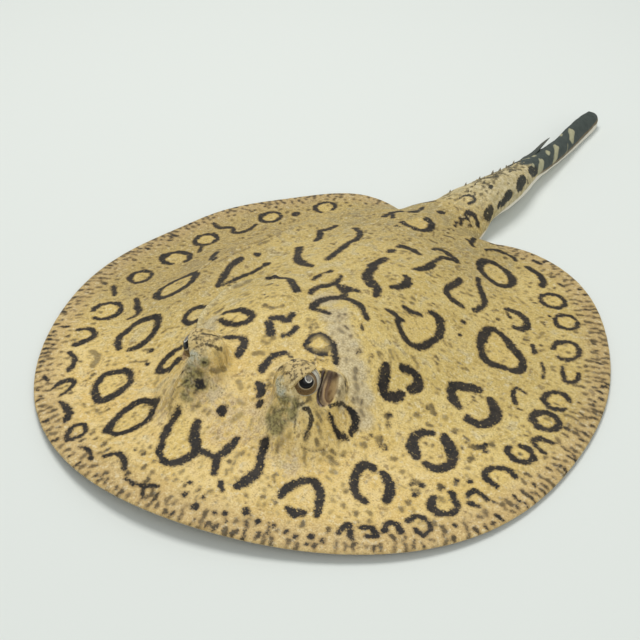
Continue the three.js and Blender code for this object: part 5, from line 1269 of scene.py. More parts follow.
def bars(M, K):
    out = np.zeros(len(M))
    for (a, b), w, s in [(((28.0, 194.6), (32.4, 186.4)), 4.4, 1.0), (((26.3, 184.6), (26.8, 183.6)), 2.2, 0.9), (((27.6, 218.4), (33.6, 207.8)), 3.6, 1.0), (((28.2, 243.6), (31.6, 237)), 4.2, 1.0), (((31.8, 230.2), (35.2, 224.6)), 1.8, 0.55),
                         (((26.3, 206.9), (26.8, 206.0)), 3.3, 1.0), (((24.6, 234.6), (25.0, 233.6)), 2.4, 0.8), (((22.3, 196.1), (22.0, 194.6)), 2.6, 0.9), (((38.7, 251.8), (38.2, 251)), 1.6, 0.5),
                         (((16.5, 203), (15, 197)), 2.6, 0.9), (((17.0, 224), (14.6, 217)), 2.4, 0.9), (((19.5, 247), (16.0, 238)), 2.8, 0.9), (((21, 190), (19, 187)), 2.0, 0.9)]:
        a, b = np.array(a), np.array(b)
        e = b - a
        t = np.clip(((M - a) @ e) / (e @ e + 1e-9), 0, 1)
        d = np.linalg.norm(M - a - t[:, None] * e, axis=1) - w / 2 + 0.4 * np.sin(1.9 * M[:, 0] + 1.1 * M[:, 1]) * np.cos(0.9 * M[:, 1])
        out = np.maximum(out, s * smooth(1.0, -0.9, d))
    return np.where(K == 2, out, 0)


# ---------------------------------------------------------------- Blender
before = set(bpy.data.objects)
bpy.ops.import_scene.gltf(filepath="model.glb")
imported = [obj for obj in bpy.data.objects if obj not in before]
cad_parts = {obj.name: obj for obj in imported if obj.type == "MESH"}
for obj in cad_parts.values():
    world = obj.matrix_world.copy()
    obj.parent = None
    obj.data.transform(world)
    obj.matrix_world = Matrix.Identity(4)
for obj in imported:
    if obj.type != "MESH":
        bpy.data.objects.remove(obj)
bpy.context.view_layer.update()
scene = bpy.context.scene
MM = 0.001


def make_mesh(name, V, T, smooth_shade=True):
    me = bpy.data.meshes.new(name)
    me.vertices.add(len(V))
    me.vertices.foreach_set("co", (np.asarray(V) * MM).astype(np.float32).ravel())
    me.loops.add(len(T) * 3)
    me.loops.foreach_set("vertex_index", np.asarray(T).astype(np.int32).ravel())
    me.polygons.add(len(T))
    me.polygons.foreach_set("loop_start", (np.arange(len(T)) * 3).astype(np.int32))
    me.polygons.foreach_set("loop_total", np.full(len(T), 3, np.int32))
    me.update(calc_edges=True)
    me.validate()
    if smooth_shade:
        me.polygons.foreach_set("use_smooth", np.ones(len(me.polygons), bool))
    ob = bpy.data.objects.new(name, me)
    scene.collection.objects.link(ob)
    return ob


def attribute(ob, name, values):
    a = ob.data.attributes.new(name, "FLOAT", "POINT")
    a.data.foreach_set("value", np.asarray(values, np.float32))


def uv_map(ob, uv):
    layer = ob.data.uv_layers.new(name="OFBake")
    layer.data.foreach_set("uv", np.asarray(uv, np.float32).ravel())


class Graph:
    """Short forms for the nodes of a material."""

    def __init__(self, name):
        self.mat = bpy.data.materials.new(name)
        self.mat.use_nodes = True
        self.t = self.mat.node_tree
        self.skin = self.t.nodes["Principled BSDF"]
        self.place = self.t.nodes.new("ShaderNodeTexCoord").outputs["Object"]

    def put(self, socket, value):
        if isinstance(value, bpy.types.NodeSocket):
            self.t.links.new(value, socket)
        else:
            socket.default_value = value

    def math(self, op, a, b=0.0, c=None):
        n = self.t.nodes.new("ShaderNodeMath")
        n.operation = op
        self.put(n.inputs[0], a)
        self.put(n.inputs[1], b)
        if c is not None:
            self.put(n.inputs[2], c)
        return n.outputs[0]

    def add(self, a, b):
        return self.math("ADD", a, b)

    def sub(self, a, b):
        return self.math("SUBTRACT", a, b)

    def mul(self, a, b):
        return self.math("MULTIPLY", a, b)

    def top(self, a, b):
        return self.math("MAXIMUM", a, b)

    def low(self, a, b):
        return self.math("MINIMUM", a, b)

    def step(self, x, lo, hi, a=0.0, b=1.0):
        n = self.t.nodes.new("ShaderNodeMapRange")
        n.interpolation_type = "SMOOTHSTEP"
        if lo > hi:
            lo, hi, a, b = hi, lo, b, a
        for name, v in (("Value", x), ("From Min", lo), ("From Max", hi), ("To Min", a), ("To Max", b)):
            self.put(n.inputs[name], v)
        return n.outputs[0]

    def attr(self, name):
        n = self.t.nodes.new("ShaderNodeAttribute")
        n.attribute_name = name
        return n.outputs["Fac"]

    def noise(self, size, detail=2.0, rough=0.5, stretch=None, w=None):
        """Noise from 0 to 1 with features about size millimetres across."""
        n = self.t.nodes.new("ShaderNodeTexNoise")
        p = self.place
        if stretch or w:
            m = self.t.nodes.new("ShaderNodeMapping")
            self.put(m.inputs["Vector"], p)
            m.inputs["Scale"].default_value = stretch or (1, 1, 1)
            m.inputs["Location"].default_value = (w or 0, (w or 0) * 0.7, 0)
            p = m.outputs[0]
        self.put(n.inputs["Vector"], p)
        n.inputs["Scale"].default_value = 1000.0 / size
        n.inputs["Detail"].default_value = detail
        n.inputs["Roughness"].default_value = rough
        return n.outputs["Fac"]

    def cells(self, size, feature="F1", w=0.0):
        n = self.t.nodes.new("ShaderNodeTexVoronoi")
        n.feature = feature
        m = self.t.nodes.new("ShaderNodeMapping")
        self.put(m.inputs["Vector"], self.place)
        m.inputs["Location"].default_value = (w, w, w)
        self.put(n.inputs["Vector"], m.outputs[0])
        n.inputs["Scale"].default_value = 1000.0 / size
        return n.outputs["Distance"]

    def blend(self, fac, a, b):
        n = self.t.nodes.new("ShaderNodeMix")
        n.data_type = "RGBA"
        self.put(n.inputs["Factor"], fac)
        self.put(n.inputs["A"] if False else n.inputs[6], a)
        self.put(n.inputs[7], b)
        return n.outputs[2]

    def set(self, name, value):
        self.put(self.skin.inputs[name], value)

    def bump(self, height, distance, strength=1.0):
        n = self.t.nodes.new("ShaderNodeBump")
        n.inputs["Strength"].default_value = strength
        n.inputs["Distance"].default_value = distance * MM
        self.put(n.inputs["Height"], height)
        self.put(self.skin.inputs["Normal"], n.outputs[0])


def rgb(r, g, b):
    """A colour from display values of 0 to 255."""
    f = lambda c: (c / 255) / 12.92 if c <= 10.3 else ((c / 255 + 0.055) / 1.055) ** 2.4
    return (f(r), f(g), f(b), 1.0)


V, T, K, M = build_skin()
V = ease_root(V, T, K)
V, W, T, K, M = build_head(V, T, K, M)
W, crease, pale_fold, dark_low, rho, th, lips = relief(W, T, K, M)
N = normals(W, T)
Z = zones(W, T, K, M, N, rho, th)
Z["bars"] = bars(M, K)
sheet = draw_marks()
upper = K != 1
near = np.where(upper, np.clip(sheet.sample(sheet.near, M), -3, 9), 9.0)
deep = np.where(upper, sheet.sample(sheet.deep, M), 0.0)
within = np.where(upper, sheet.sample(sheet.within, M), 0.0)

skin = make_mesh("skin", W, T)
for name, values in [("mark", near), ("deep", deep), ("within", within), ("crease", crease), ("pale", pale_fold), ("under", dark_low)] + list(Z.items()):
    attribute(skin, "z_" + name, values)

# flat layout for baking: the upper side with the tail unrolled, and the underside beside it
loops_v = T.ravel()
is_low = np.repeat((K[T] == 1).any(1), 3)
is_tail = np.repeat((K[T] == 2).any(1), 3) & ~is_low
u, v = M[loops_v, 0].copy(), M[loops_v, 1].copy()
tri_u = u.reshape(-1, 3)
wide = is_tail.reshape(-1, 3)[:, 0] & ((tri_u.max(1) - tri_u.min(1)) > 14)
fix = tri_u[wide]
lowest = fix.min(1)[:, None]
girth = fix.max(1)[:, None] - lowest
tri_u[wide] = np.where(fix < lowest + girth / 2, fix + girth, fix)
u = tri_u.ravel()
lu, lv = W[loops_v, 0], W[loops_v, 1]
u = np.where(is_low, 420 - lu, u + 145)
v = np.where(is_low, lv + 140, v + 140)
uv_map(skin, np.stack([u / 560, v / 560], -1))

# ---- skin material
g = Graph("ray_skin")
A = g.attr
fine, mid, coarse = g.noise(0.75, 3, 0.6), g.noise(2.6, 3, 0.55), g.noise(11, 3, 0.5)
grain = g.noise(0.5, 2, 0.7, w=0.3)
edge = g.add(g.mul(g.sub(fine, 0.5), 2.6), g.mul(g.sub(mid, 0.5), 2.6))
mark = g.add(A("z_mark"), edge)
way = g.step(mark, 2.2, 5.2)             # the ways between the rings
ochre = g.blend(g.step(coarse, 0.35, 0.65), rgb(200, 175, 102), rgb(217, 193, 122))
ochre = g.blend(A("z_forward"), ochre, g.blend(g.step(coarse, 0.35, 0.62), rgb(221, 188, 114), rgb(231, 203, 138)))
ochre = g.blend(g.mul(way, 0.62), ochre, g.blend(g.step(mid, 0.35, 0.65), rgb(178, 160, 114), rgb(222, 208, 164)))
ochre = g.blend(g.mul(A("z_trunk"), 0.8), ochre, g.blend(mid, rgb(142, 127, 84), rgb(174, 154, 102)))
ochre = g.blend(g.mul(A("z_right"), 0.8), ochre, g.blend(mid, rgb(152, 131, 84), rgb(178, 154, 96)))
# yellow inside rings and close round the marks
ochre = g.blend(g.mul(A("z_within"), 0.7), ochre, g.blend(mid, rgb(212, 180, 92), rgb(228, 202, 128)))
ochre = g.blend(g.mul(g.step(mark, 2.4, 0.4), 0.45), ochre, rgb(224, 194, 112))
# margin
ochre = g.blend(g.mul(A("z_margin"), 0.75), ochre, g.blend(coarse, rgb(190, 160, 108), rgb(204, 176, 124)))
# fine grain in colour
pepper = g.step(fine, 0.54, 0.66)
pepper2 = g.mul(g.step(g.noise(1.35, 3, 0.65, w=0.11), 0.54, 0.66), g.step(coarse, 0.36, 0.62, 0.35, 1.0))
ochre = g.blend(g.mul(pepper, 0.34), ochre, rgb(120, 94, 50))
ochre = g.blend(g.mul(pepper2, g.step(way, 0.0, 1.0, 0.38, 0.85)), ochre, rgb(98, 80, 52))
ochre = g.blend(g.mul(g.step(fine, 0.49, 0.36), 0.42), ochre, rgb(246, 226, 166))
chalk = g.mul(g.step(g.noise(1.9, 3, 0.62, w=0.63), 0.545, 0.66), g.step(coarse, 0.62, 0.4, 0.45, 1.0))
ochre = g.blend(g.mul(chalk, 0.42), ochre, rgb(240, 230, 196))
blotch = g.mul(g.step(g.noise(4.6, 3, 0.62, w=0.37), 0.55, 0.69), g.step(mark, 0.4, 2.0))
ochre = g.blend(g.mul(blotch, 0.58), ochre, rgb(102, 78, 50))
# grey and pinkish zones
zone = g.mul(A("z_grey"), g.step(g.add(mid, g.mul(A("z_grey"), 0.3)), 0.42, 0.62))
ochre = g.blend(g.mul(zone, 0.7), ochre, g.blend(g.step(fine, 0.36, 0.68), rgb(212, 200, 166), rgb(166, 151, 122)))
zone = g.mul(A("z_pinkgrey"), g.step(mid, 0.40, 0.58))
ochre = g.blend(g.mul(zone, 0.65), ochre, g.blend(g.step(fine, 0.38, 0.66), rgb(208, 188, 150), rgb(158, 134, 108)))
ochre = g.blend(g.mul(A("z_pale"), 0.8), ochre, g.blend(g.step(fine, 0.4, 0.62), rgb(224, 212, 166), rgb(170, 154, 112)))
# marks
ink = g.blend(g.step(g.add(g.mul(mid, 0.6), g.mul(coarse, 0.4)), 0.36, 0.62), rgb(21, 18, 15), rgb(48, 41, 33))
ink = g.blend(g.mul(g.step(fine, 0.58, 0.70), 0.4), ink, rgb(96, 82, 54))
dark = g.mul(g.step(mark, 0.6, -0.4), A("z_deep"))
dark = g.mul(dark, g.step(g.noise(1.0, 2, 0.6, w=0.21), 0.80, 0.62))
skin_col = g.blend(dark, ochre, ink)
halo = g.mul(g.mul(g.step(mark, 1.0, 0.2), g.sub(1.0, dark)), g.mul(A("z_deep"), 0.38))
skin_col = g.blend(halo, skin_col, rgb(112, 82, 48))
skin_col = g.blend(g.mul(A("z_far"), 0.13), skin_col, rgb(64, 54, 34))
# eye surrounds
speck = g.step(g.noise(1.35, 2, 0.55, w=0.5), 0.525, 0.60)
brow_col = g.blend(speck, g.blend(mid, rgb(186, 160, 104), rgb(216, 194, 142)), rgb(62, 46, 32))
skin_col = g.blend(g.mul(A("z_brow"), g.step(mark, -0.2, 0.9, 0.15, 0.75)), skin_col, brow_col)
# pale patch on the eye mounds' tops: bluish-grey skin tone and painted highlight
blue_col = g.blend(g.step(g.noise(1.7, 3, 0.6, w=0.9), 0.40, 0.58), rgb(184, 188, 172), g.blend(g.step(fine, 0.4, 0.6), rgb(222, 217, 188), rgb(124, 121, 92)))
# painted shade low on the eye mounds, tinted greenish-brown
olive_col = g.blend(g.step(g.noise(1.5, 3, 0.6, w=0.4), 0.38, 0.60), rgb(146, 137, 86), rgb(70, 66, 38))
skin_col = g.blend(g.mul(A("z_olive"), g.step(g.noise(3.0, 2, 0.5, w=0.2), 0.30, 0.54, 0.28, 0.84)), skin_col, olive_col)
skin_col = g.blend(g.mul(A("z_blue"), g.step(g.noise(3.4, 2, 0.5, w=0.8), 0.30, 0.52, 0.25, 0.85)), skin_col, blue_col)
skin_col = g.blend(g.mul(A("z_spot"), g.step(fine, 0.72, 0.56)), skin_col, ink)
# spiracle: pale purple-grey folds going down into painted shade, darker at its upper rear end and deep inside
stripes = g.step(g.math("SINE", g.add(g.mul(A("z_pit_a"), 3.3), g.mul(mid, 1.6)), 0.0), -0.6, 0.8)
pit_col = g.blend(stripes, rgb(52, 36, 28), rgb(148, 130, 124))
pit_col = g.blend(g.step(A("z_pit_a"), 0.9, 2.6), pit_col, g.blend(stripes, rgb(104, 78, 50), rgb(172, 144, 98)))
# painted shade: darker towards the spiracle's upper rear end, and darkest in its depth
pit_col = g.blend(g.mul(g.step(A("z_pit_l"), -1.0, -5.5), 0.8), pit_col, rgb(52, 36, 26))
pit_col = g.blend(g.step(A("z_pit_d"), 4.6, 7.0), pit_col, rgb(30, 21, 17))
skin_col = g.blend(A("z_pit"), skin_col, pit_col)
# creases: darker colour in the fold furrows, painted shade
skin_col = g.blend(g.mul(g.mul(A("z_crease"), g.step(fine, 0.66, 0.4)), 0.85), skin_col, rgb(70, 55, 36))
# tail end
tail_base = g.blend(g.step(mid, 0.35, 0.65), rgb(170, 158, 120), rgb(212, 202, 168))
skin_col = g.blend(g.mul(g.mul(A("z_tail"), g.sub(1.0, dark)), 0.6), skin_col, tail_base)
skin_col = g.blend(g.mul(g.mul(A("z_tail"), dark), 0.7), skin_col, rgb(54, 56, 48))
tail_dark = g.blend(mid, rgb(46, 54, 52), rgb(78, 86, 80))
td = g.mul(A("z_tdark"), g.step(A("z_side"), 1.0, 0.4))
skin_col = g.blend(td, skin_col, tail_dark)
bar_mask = g.mul(A("z_bars"), g.step(g.add(A("z_bars"), g.mul(g.sub(fine, 0.5), 0.8)), 0.3, 0.6))
skin_col = g.blend(bar_mask, skin_col, g.blend(mid, rgb(150, 146, 114), rgb(188, 184, 150)))
# underside
belly = g.blend(coarse, rgb(226, 218, 200), rgb(238, 232, 218))
belly = g.blend(g.mul(g.step(fine, 0.5, 0.7), 0.15), belly, rgb(190, 170, 150))
rim_col = g.blend(g.step(mid, 0.38, 0.62), rgb(136, 118, 96), rgb(172, 152, 124))
rim_at = g.step(g.add(A("z_margin"), g.mul(g.sub(coarse, 0.5), 0.7)), 0.15, 0.9)
belly = g.blend(g.mul(rim_at, 0.85), belly, rim_col)
belly = g.blend(g.mul(A("z_under"), 0.85), belly, rgb(120, 86, 74))
skin_col = g.blend(A("z_belly"), skin_col, belly)
skin_col = g.blend(g.mul(A("z_side"), 0.85), skin_col, rgb(112, 88, 54))
g.set("Base Color", skin_col)
g.set("Roughness", g.add(0.52, g.mul(fine, 0.2)))
g.skin.inputs["Specular IOR Level"].default_value = 0.32
g.skin.inputs["Subsurface Weight"].default_value = 0.0
rough_top = g.add(g.mul(g.cells(0.9), -0.6), g.mul(fine, 0.8))
g.bump(g.add(rough_top, g.mul(mid, 1.1)), 0.22, 0.55)
skin.data.materials.append(g.mat)
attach(skin, "root")
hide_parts("head", "trunk", "pectoral_fin_left", "pectoral_fin_right", "pelvic_fin_left", "pelvic_fin_right", "tail_base", "tail_middle", "tail_tip")


# ---------------------------------------------------------------- eyes
PUPIL_AXIS = np.array([0.543, -0.676, 0.491])
PUPIL_AXIS = PUPIL_AXIS / np.linalg.norm(PUPIL_AXIS)


def eyeball(m):
    """An eyeball in rings round its pupil's axis, with a slight cornea; angles in degrees are kept for the colours."""
    rows, cols = 90, 128
    ax = PUPIL_AXIS * np.array([m, 1, 1])
    upv = np.array([0, 0, 1.0]) - ax * ax[2]
    upv /= np.linalg.norm(upv)
    side = np.cross(upv, ax) * m
    ang = np.concatenate([np.linspace(0, 75, 62)[1:], np.linspace(75, 180, 30)[1:-1]]) * RAD
    phi = np.arange(cols) * 2 * np.pi / cols
    A_, P_ = np.meshgrid(ang, phi, indexing="ij")
    r = EYE_R - 0.05 + 0.28 * smooth(40, 12, A_ / RAD)
    d = np.cos(A_)[..., None] * ax + np.sin(A_)[..., None] * (np.cos(P_)[..., None] * upv + np.sin(P_)[..., None] * side)
    pts = (EYE_AT * np.array([m, 1, 1]) + d * r[..., None]).reshape(-1, 3)
    front = EYE_AT * np.array([m, 1, 1]) + ax * (EYE_R + 0.23)
    rear = EYE_AT * np.array([m, 1, 1]) - ax * (EYE_R - 0.05)
    pts = np.concatenate([pts, [front, rear]])
    n = len(ang)
    F, R_ = len(pts) - 2, len(pts) - 1
    j, j1 = np.arange(cols), (np.arange(cols) + 1) % cols
    tr = [np.stack([np.full(cols, F), j, j1], -1), np.stack([np.full(cols, R_), (n - 1) * cols + j1, (n - 1) * cols + j], -1)]
    for i in range(n - 1):
        a, b, c, e = i * cols + j, i * cols + j1, (i + 1) * cols + j1, (i + 1) * cols + j
        tr += [np.stack([a, e, c], -1), np.stack([a, c, b], -1)]
    tr = np.concatenate(tr)
    c0 = EYE_AT * np.array([m, 1, 1])
    vol = np.einsum("ij,ij->i", pts[tr[:, 0]] - c0, np.cross(pts[tr[:, 1]] - c0, pts[tr[:, 2]] - c0)).sum()
    if vol < 0:
        tr = tr[:, ::-1]
    angle = np.concatenate([np.repeat(ang / RAD, cols), [0, 180]])
    up_c = np.concatenate([(np.sin(A_) * np.cos(P_)).ravel(), [0, 0]]) * EYE_R
    side_c = np.concatenate([(np.sin(A_) * np.sin(P_)).ravel(), [0, 0]]) * EYE_R
    turn = np.concatenate([P_.ravel(), [0, 0]])
    return pts, tr, angle, up_c, side_c, turn


for m, node in ((1, "eye_left"), (-1, "eye_right")):
    pts, tr, angle, up_c, side_c, turn = eyeball(m)
    eye = make_mesh(node + "_ball", pts, tr)
    # pupil: a crescent open at the top, round a pale flap that hangs into it
    disc = np.hypot(up_c / 2.45, side_c / 2.65) - 1
    flap = np.hypot((up_c - 1.5) / 1.9, (side_c - 0.95) / 1.5) - 1
    attribute(eye, "e_disc", disc)
    attribute(eye, "e_flap", flap)
    attribute(eye, "e_edge", 0.75 * (up_c - 1.5) / 1.9 + 0.66 * (side_c - 0.95) / 1.5)
    # the grey ring lies nearer to the pupil behind and above
    way = (0.85 * side_c + 0.5 * up_c) / (np.hypot(side_c, up_c) + 1e-9)
    edge_at = 57 - 17 * smooth(-0.1, 0.95, way)
    attribute(eye, "e_ang", angle - edge_at + 50.5)
    attribute(eye, "e_turn", np.sin(turn * 3) * 0.5)
    attribute(eye, "e_up", up_c)
    cols = 128
    ring = np.minimum(angle / 180, 1)
    uvs = np.stack([0.5 + 0.48 * ring * np.sin(turn), 0.5 + 0.48 * ring * np.cos(turn)], -1)[tr.ravel()]
    uv_map(eye, uvs)
    if m == 1:
        e = Graph("ray_eye")
        B = e.attr
        n1, n2 = e.noise(0.45, 2, 0.6), e.noise(1.4, 2, 0.5)
        iris = e.blend(e.step(n1, 0.35, 0.65), rgb(84, 66, 46), rgb(120, 98, 68))
        iris = e.blend(e.step(B("e_ang"), 36, 49), iris, rgb(128, 104, 72))
        ring_col = e.blend(n2, rgb(168, 162, 146), rgb(206, 202, 186))
        ring_col = e.blend(e.mul(e.step(n1, 0.56, 0.66), 0.5), ring_col, rgb(118, 108, 92))
        col = e.blend(e.step(B("e_ang"), 50.5, 52.5), iris, ring_col)
        line = e.mul(e.step(B("e_ang"), 48.5, 50.5), e.step(B("e_ang"), 54.5, 52.0))
        col = e.blend(e.mul(line, 0.8), col, rgb(60, 46, 36))
        line = e.mul(e.step(B("e_ang"), 68, 71), e.step(B("e_ang"), 77, 73))
        col = e.blend(e.mul(line, 0.7), col, rgb(80, 66, 52))
        rimc = e.mul(e.step(B("e_disc"), 0.24, 0.14), e.step(B("e_disc"), -0.06, 0.02))
        col = e.blend(e.mul(rimc, 0.85), col, rgb(172, 158, 130))
        pupil = e.step(B("e_disc"), 0.06, 0.0)
        flap_n = e.add(B("e_flap"), e.mul(e.sub(n1, 0.5), 0.25))
        inside_flap = e.mul(e.step(flap_n, 0.06, -0.04), pupil)
        col = e.blend(pupil, col, rgb(9, 8, 9))
        flap_col = e.blend(e.step(n1, 0.35, 0.6), rgb(92, 86, 78), rgb(138, 132, 122))
        edge_line = e.mul(e.mul(e.step(flap_n, -0.30, -0.18), e.step(flap_n, 0.02, -0.06)), e.step(B("e_edge"), 0.35, -0.1))
        flap_col = e.blend(edge_line, flap_col, rgb(214, 212, 202))
        col = e.blend(inside_flap, col, flap_col)
        e.set("Base Color", col)
        e.skin.inputs["Roughness"].default_value = 0.22
        e.skin.inputs["Specular IOR Level"].default_value = 0.18
        e.skin.inputs["Coat Weight"].default_value = 0.08
        e.skin.inputs["Coat Roughness"].default_value = 0.08
        eye_mat = e.mat
    eye.data.materials.append(eye_mat)
    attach(eye, "root")
    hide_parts(node)


# ---------------------------------------------------------------- sting: a flat barbed blade with a midrib, in a thin sheath at its root
def tail_frame(y):
    x0, z0, a, b, roll, slope, pinch = tail_section(y)
    return np.array([float(x0), y, float(z0)]), np.array([-np.sin(roll), 0, np.cos(roll)]), np.array([np.cos(roll), 0, np.sin(roll)]), float(b)


def sting_mesh():
    rows, half = 190, 12
    rings = []
    for i in range(rows):
        k = i / (rows - 1) * 0.992
        y = 187.4 + (223 - 187.4) * k
        c, up, side, b = tail_frame(y)
        c = c + up * (b - 0.75 + 3.6 * float(smooth(0.08, 1, k)))
        size = (1 - k) ** 0.6 * float(smooth(-0.25, 0.12, k))
        tooth = ((k * 26) % 1.0)
        barb = 0.42 * (1 - tooth) ** 1.6 * float(smooth(0.3, 0.45, k)) * (1 - 0.5 * k) if k < 0.96 else 0
        w, t = 2.5 * size + barb * size ** 0.5, 1.5 * size
        prof = []
        for j in range(2 * half):
            a = 2 * np.pi * j / (2 * half)
            cx, sy = np.cos(a), np.sin(a)
            rib = 0.22 * t * np.exp(-((cx * 1.0) / 0.16) ** 2) - 0.16 * t * np.exp(-((abs(cx) - 0.32) / 0.12) ** 2)
            sharp = np.sign(cx) * abs(cx) ** 0.85
            prof.append(c + side * w * sharp + up * (t * sy * (1 - 0.35 * cx * cx) + (rib if sy > 0 else 0)))
        rings.append(prof)
    P = np.array(rings).reshape(-1, 3)
    n = 2 * half
    j, j1 = np.arange(n), (np.arange(n) + 1) % n
    tr = []
    for i in range(rows - 1):
        a, b_, c_, d_ = i * n + j, i * n + j1, (i + 1) * n + j1, (i + 1) * n + j
        tr += [np.stack([a, c_, b_], -1), np.stack([a, d_, c_], -1)]
    first = P[:n].mean(0) + np.array([0, -0.5, 0])
    last = P[-n:].mean(0) + np.array([0, 0.35, 0])
    P = np.concatenate([P, [first, last]])
    tr += [np.stack([np.full(n, len(P) - 2), j, j1], -1), np.stack([np.full(n, len(P) - 1), (rows - 1) * n + j1, (rows - 1) * n + j], -1)]
    tr = np.concatenate(tr)
    c0 = P.mean(0)
    vol = np.einsum("ij,ij->i", P[tr[:, 0]] - c0, np.cross(P[tr[:, 1]] - c0, P[tr[:, 2]] - c0)).sum()
    return P, tr if vol > 0 else tr[:, ::-1], np.concatenate([np.repeat(np.arange(rows) / (rows - 1), n), [0, 1]])


P, tr, along = sting_mesh()
sting = make_mesh("sting_blade", P, tr)
attribute(sting, "s_along", along)
ring_j = np.concatenate([np.tile(np.arange(24) / 24, 190), [0.5, 0.5]])
uv_map(sting, np.stack([ring_j, along], -1)[tr.ravel()])
s = Graph("ray_sting")
sn = s.noise(1.2, 3, 0.6, (1, 0.25, 1))
bone = s.blend(sn, rgb(86, 82, 70), rgb(132, 124, 104))
sheath = s.blend(sn, rgb(44, 52, 49), rgb(70, 76, 68))
s.set("Base Color", s.blend(s.step(s.add(s.attr("s_along"), s.mul(s.sub(sn, 0.5), 0.2)), 0.42, 0.8), sheath, s.blend(0.72, bone, sheath)))
s.skin.inputs["Roughness"].default_value = 0.5
sting.data.materials.append(s.mat)
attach(sting, "root")
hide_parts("sting")


# ---------------------------------------------------------------- thorns and denticles, rooted in the skin
def surface_at(points):
    """Nearest upper skin vertex to each place of the marking map, with its normal."""
    out = []
    ids = np.nonzero(K != 1)[0]
    MM_ = M[ids]
    for u_, v_ in points:
        i = ids[np.argmin((MM_[:, 0] - u_) ** 2 + (MM_[:, 1] - v_) ** 2)]
        out.append((W[i], N[i]))
    return out


def thorn_set():
    rng = np.random.default_rng(7)
    big = [(5.5, 124.5), (7.6, 131.5), (9.6, 138.5), (12.2, 146), (13.6, 153.5), (15.2, 161.5), (16.5, 169.5), (17.0, 177.0), (-4.9, 130.6), (2.2, 137.9), (8.6, 145.9), (12.3, 157.5), (14.6, 172.2)]
    small = []
    for y in np.arange(62, 186, 1.15):
        for _ in range(2 if y > 100 else 1):
            mid_x = np.interp(y, [62, 110, 130, 186], [0.5, 2.5, 6.0, 18.0])
            small.append((mid_x + rng.normal(0, np.interp(y, [62, 120, 186], [3.0, 6.0, 3.0])), y + rng.uniform(-0.5, 0.5)))
    pts, tris, base, kind = [], [], 0, []
    for k, (u_, v_) in enumerate(big + small):
        is_big = k < len(big)
        p, n = surface_at([(u_, v_)])[0]
        h = rng.uniform(1.3, 1.9) if is_big else rng.uniform(0.22, 0.5)
        r = h * (0.5 if is_big else 0.62)
        back_ = np.array([0.25, 1.0, 0.0])
        back_ = back_ - n * (back_ @ n)
        back_ /= np.linalg.norm(back_)
        side = np.cross(n, back_)
        rows_, cols_ = (7, 12) if is_big else (3, 7)
        ring_pts = []
        for i in range(rows_):
            t = i / rows_
            rr = r * (1 - t) ** 0.85
            c = p - n * 0.35 * r * (1 - t) + n * h * t * (1 - 0.15 * t) + back_ * h * (0.75 * t * t + 0.1 * t)
            for j in range(cols_):
                a = 2 * np.pi * j / cols_
                ring_pts.append(c + (back_ * np.cos(a) * 1.25 + side * np.sin(a) * 0.85) * rr)
        tip = p + n * h * 0.85 + back_ * h * 0.98
        low_c = p - n * 0.6 * r
        q = np.array(ring_pts + [tip, low_c])
        tr_ = []
        j, j1 = np.arange(cols_), (np.arange(cols_) + 1) % cols_
        for i in range(rows_ - 1):
            a, b_, c_, d_ = i * cols_ + j, i * cols_ + j1, (i + 1) * cols_ + j1, (i + 1) * cols_ + j
            tr_ += [np.stack([a, b_, c_], -1), np.stack([a, c_, d_], -1)]
        tr_ += [np.stack([np.full(cols_, len(q) - 2), (rows_ - 1) * cols_ + j, (rows_ - 1) * cols_ + j1], -1), np.stack([np.full(cols_, len(q) - 1), j1, j], -1)]
        tr_ = np.concatenate(tr_)
        c0 = q.mean(0)
        vol = np.einsum("ij,ij->i", q[tr_[:, 0]] - c0, np.cross(q[tr_[:, 1]] - c0, q[tr_[:, 2]] - c0)).sum()
        if vol < 0:
            tr_ = tr_[:, ::-1]
        pts.append(q)
        tris.append(tr_ + base)
        base += len(q)
        kind.append(np.full(len(q), 1.0 if is_big and v_ > 128 else 0.0))
    return np.concatenate(pts), np.concatenate(tris), np.concatenate(kind)


P, tr, kind = thorn_set()
thorns = make_mesh("thorns", P, tr)
attribute(thorns, "t_kind", kind)
uv_map(thorns, (P[tr.ravel()][:, :2] + 140) / 560)
t = Graph("ray_thorn")
tn = t.noise(1.0, 2, 0.5)
t.set("Base Color", t.blend(t.attr("t_kind"), t.blend(tn, rgb(176, 160, 116), rgb(206, 190, 146)), t.blend(tn, rgb(84, 78, 62), rgb(132, 120, 92))))
t.skin.inputs["Roughness"].default_value = 0.5
thorns.data.materials.append(t.mat)
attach(thorns, "root")


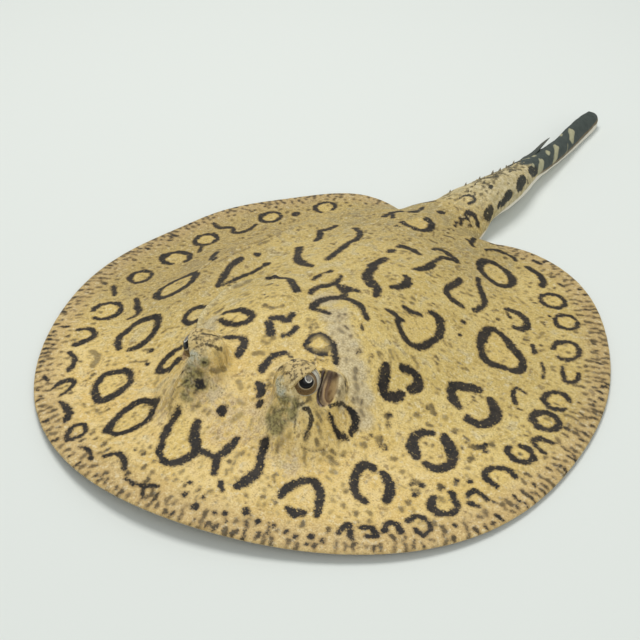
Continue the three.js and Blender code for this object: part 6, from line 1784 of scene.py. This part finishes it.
# ---------------------------------------------------------------- floor, light, camera
def plane(name, size, z):
    me = bpy.data.meshes.new(name)
    h = size / 2
    me.from_pydata([(-h, -h, z), (h, -h, z), (h, h, z), (-h, h, z)], [], [(0, 1, 2, 3)])
    ob = bpy.data.objects.new(name, me)
    scene.collection.objects.link(ob)
    return ob


floor = plane("floor", 12.0, -0.0002)
fm = bpy.data.materials.new("floor")
fm.use_nodes = True
fb = fm.node_tree.nodes["Principled BSDF"]
fb.inputs["Base Color"].default_value = (0.755, 0.79, 0.76, 1)
fb.inputs["Roughness"].default_value = 0.9
floor.data.materials.append(fm)


def area(name, at, to, size, power, color=(1, 1, 1)):
    d = bpy.data.lights.new(name, "AREA")
    d.shape, d.size, d.energy, d.color = "DISK", size, power, color
    ob = bpy.data.objects.new(name, d)
    scene.collection.objects.link(ob)
    ob.location = at
    ob.rotation_mode = "QUATERNION"
    ob.rotation_quaternion = (Vector(to) - Vector(at)).to_track_quat("-Z", "Y")
    return ob


area("key", (-0.30, 0.35, 1.30), (0, 0, 0), 0.7, 10.3, (1.0, 0.985, 0.96))
area("fill", (0.9, -0.9, 0.9), (0, 0, 0), 1.2, 5.3, (0.97, 0.99, 1.0))
world = bpy.data.worlds.new("world")
scene.world = world
world.use_nodes = True
world.node_tree.nodes["Background"].inputs["Color"].default_value = (0.90, 0.93, 0.92, 1)
world.node_tree.nodes["Background"].inputs["Strength"].default_value = 0.47
scene.view_settings.view_transform = "Standard"
scene.view_settings.look = "None"

CAM = dict(f=1207.3, az=28.696, el=33.462, D=552.15, aim=(-15.926, 14.808, 0.0))
az, el = CAM["az"] * RAD, CAM["el"] * RAD
away = Vector((np.sin(az) * np.cos(el), -np.cos(az) * np.cos(el), np.sin(el)))
cd = bpy.data.cameras.new("camera")
cd.sensor_width = 36.0
cd.lens = CAM["f"] / 640 * 36
cd.clip_start, cd.clip_end = 0.01, 50
cam = bpy.data.objects.new("camera", cd)
scene.collection.objects.link(cam)
cam.location = (Vector(CAM["aim"]) + away * CAM["D"]) * MM
cam.rotation_mode = "QUATERNION"
cam.rotation_quaternion = (-away).to_track_quat("-Z", "Y")
scene.camera = cam
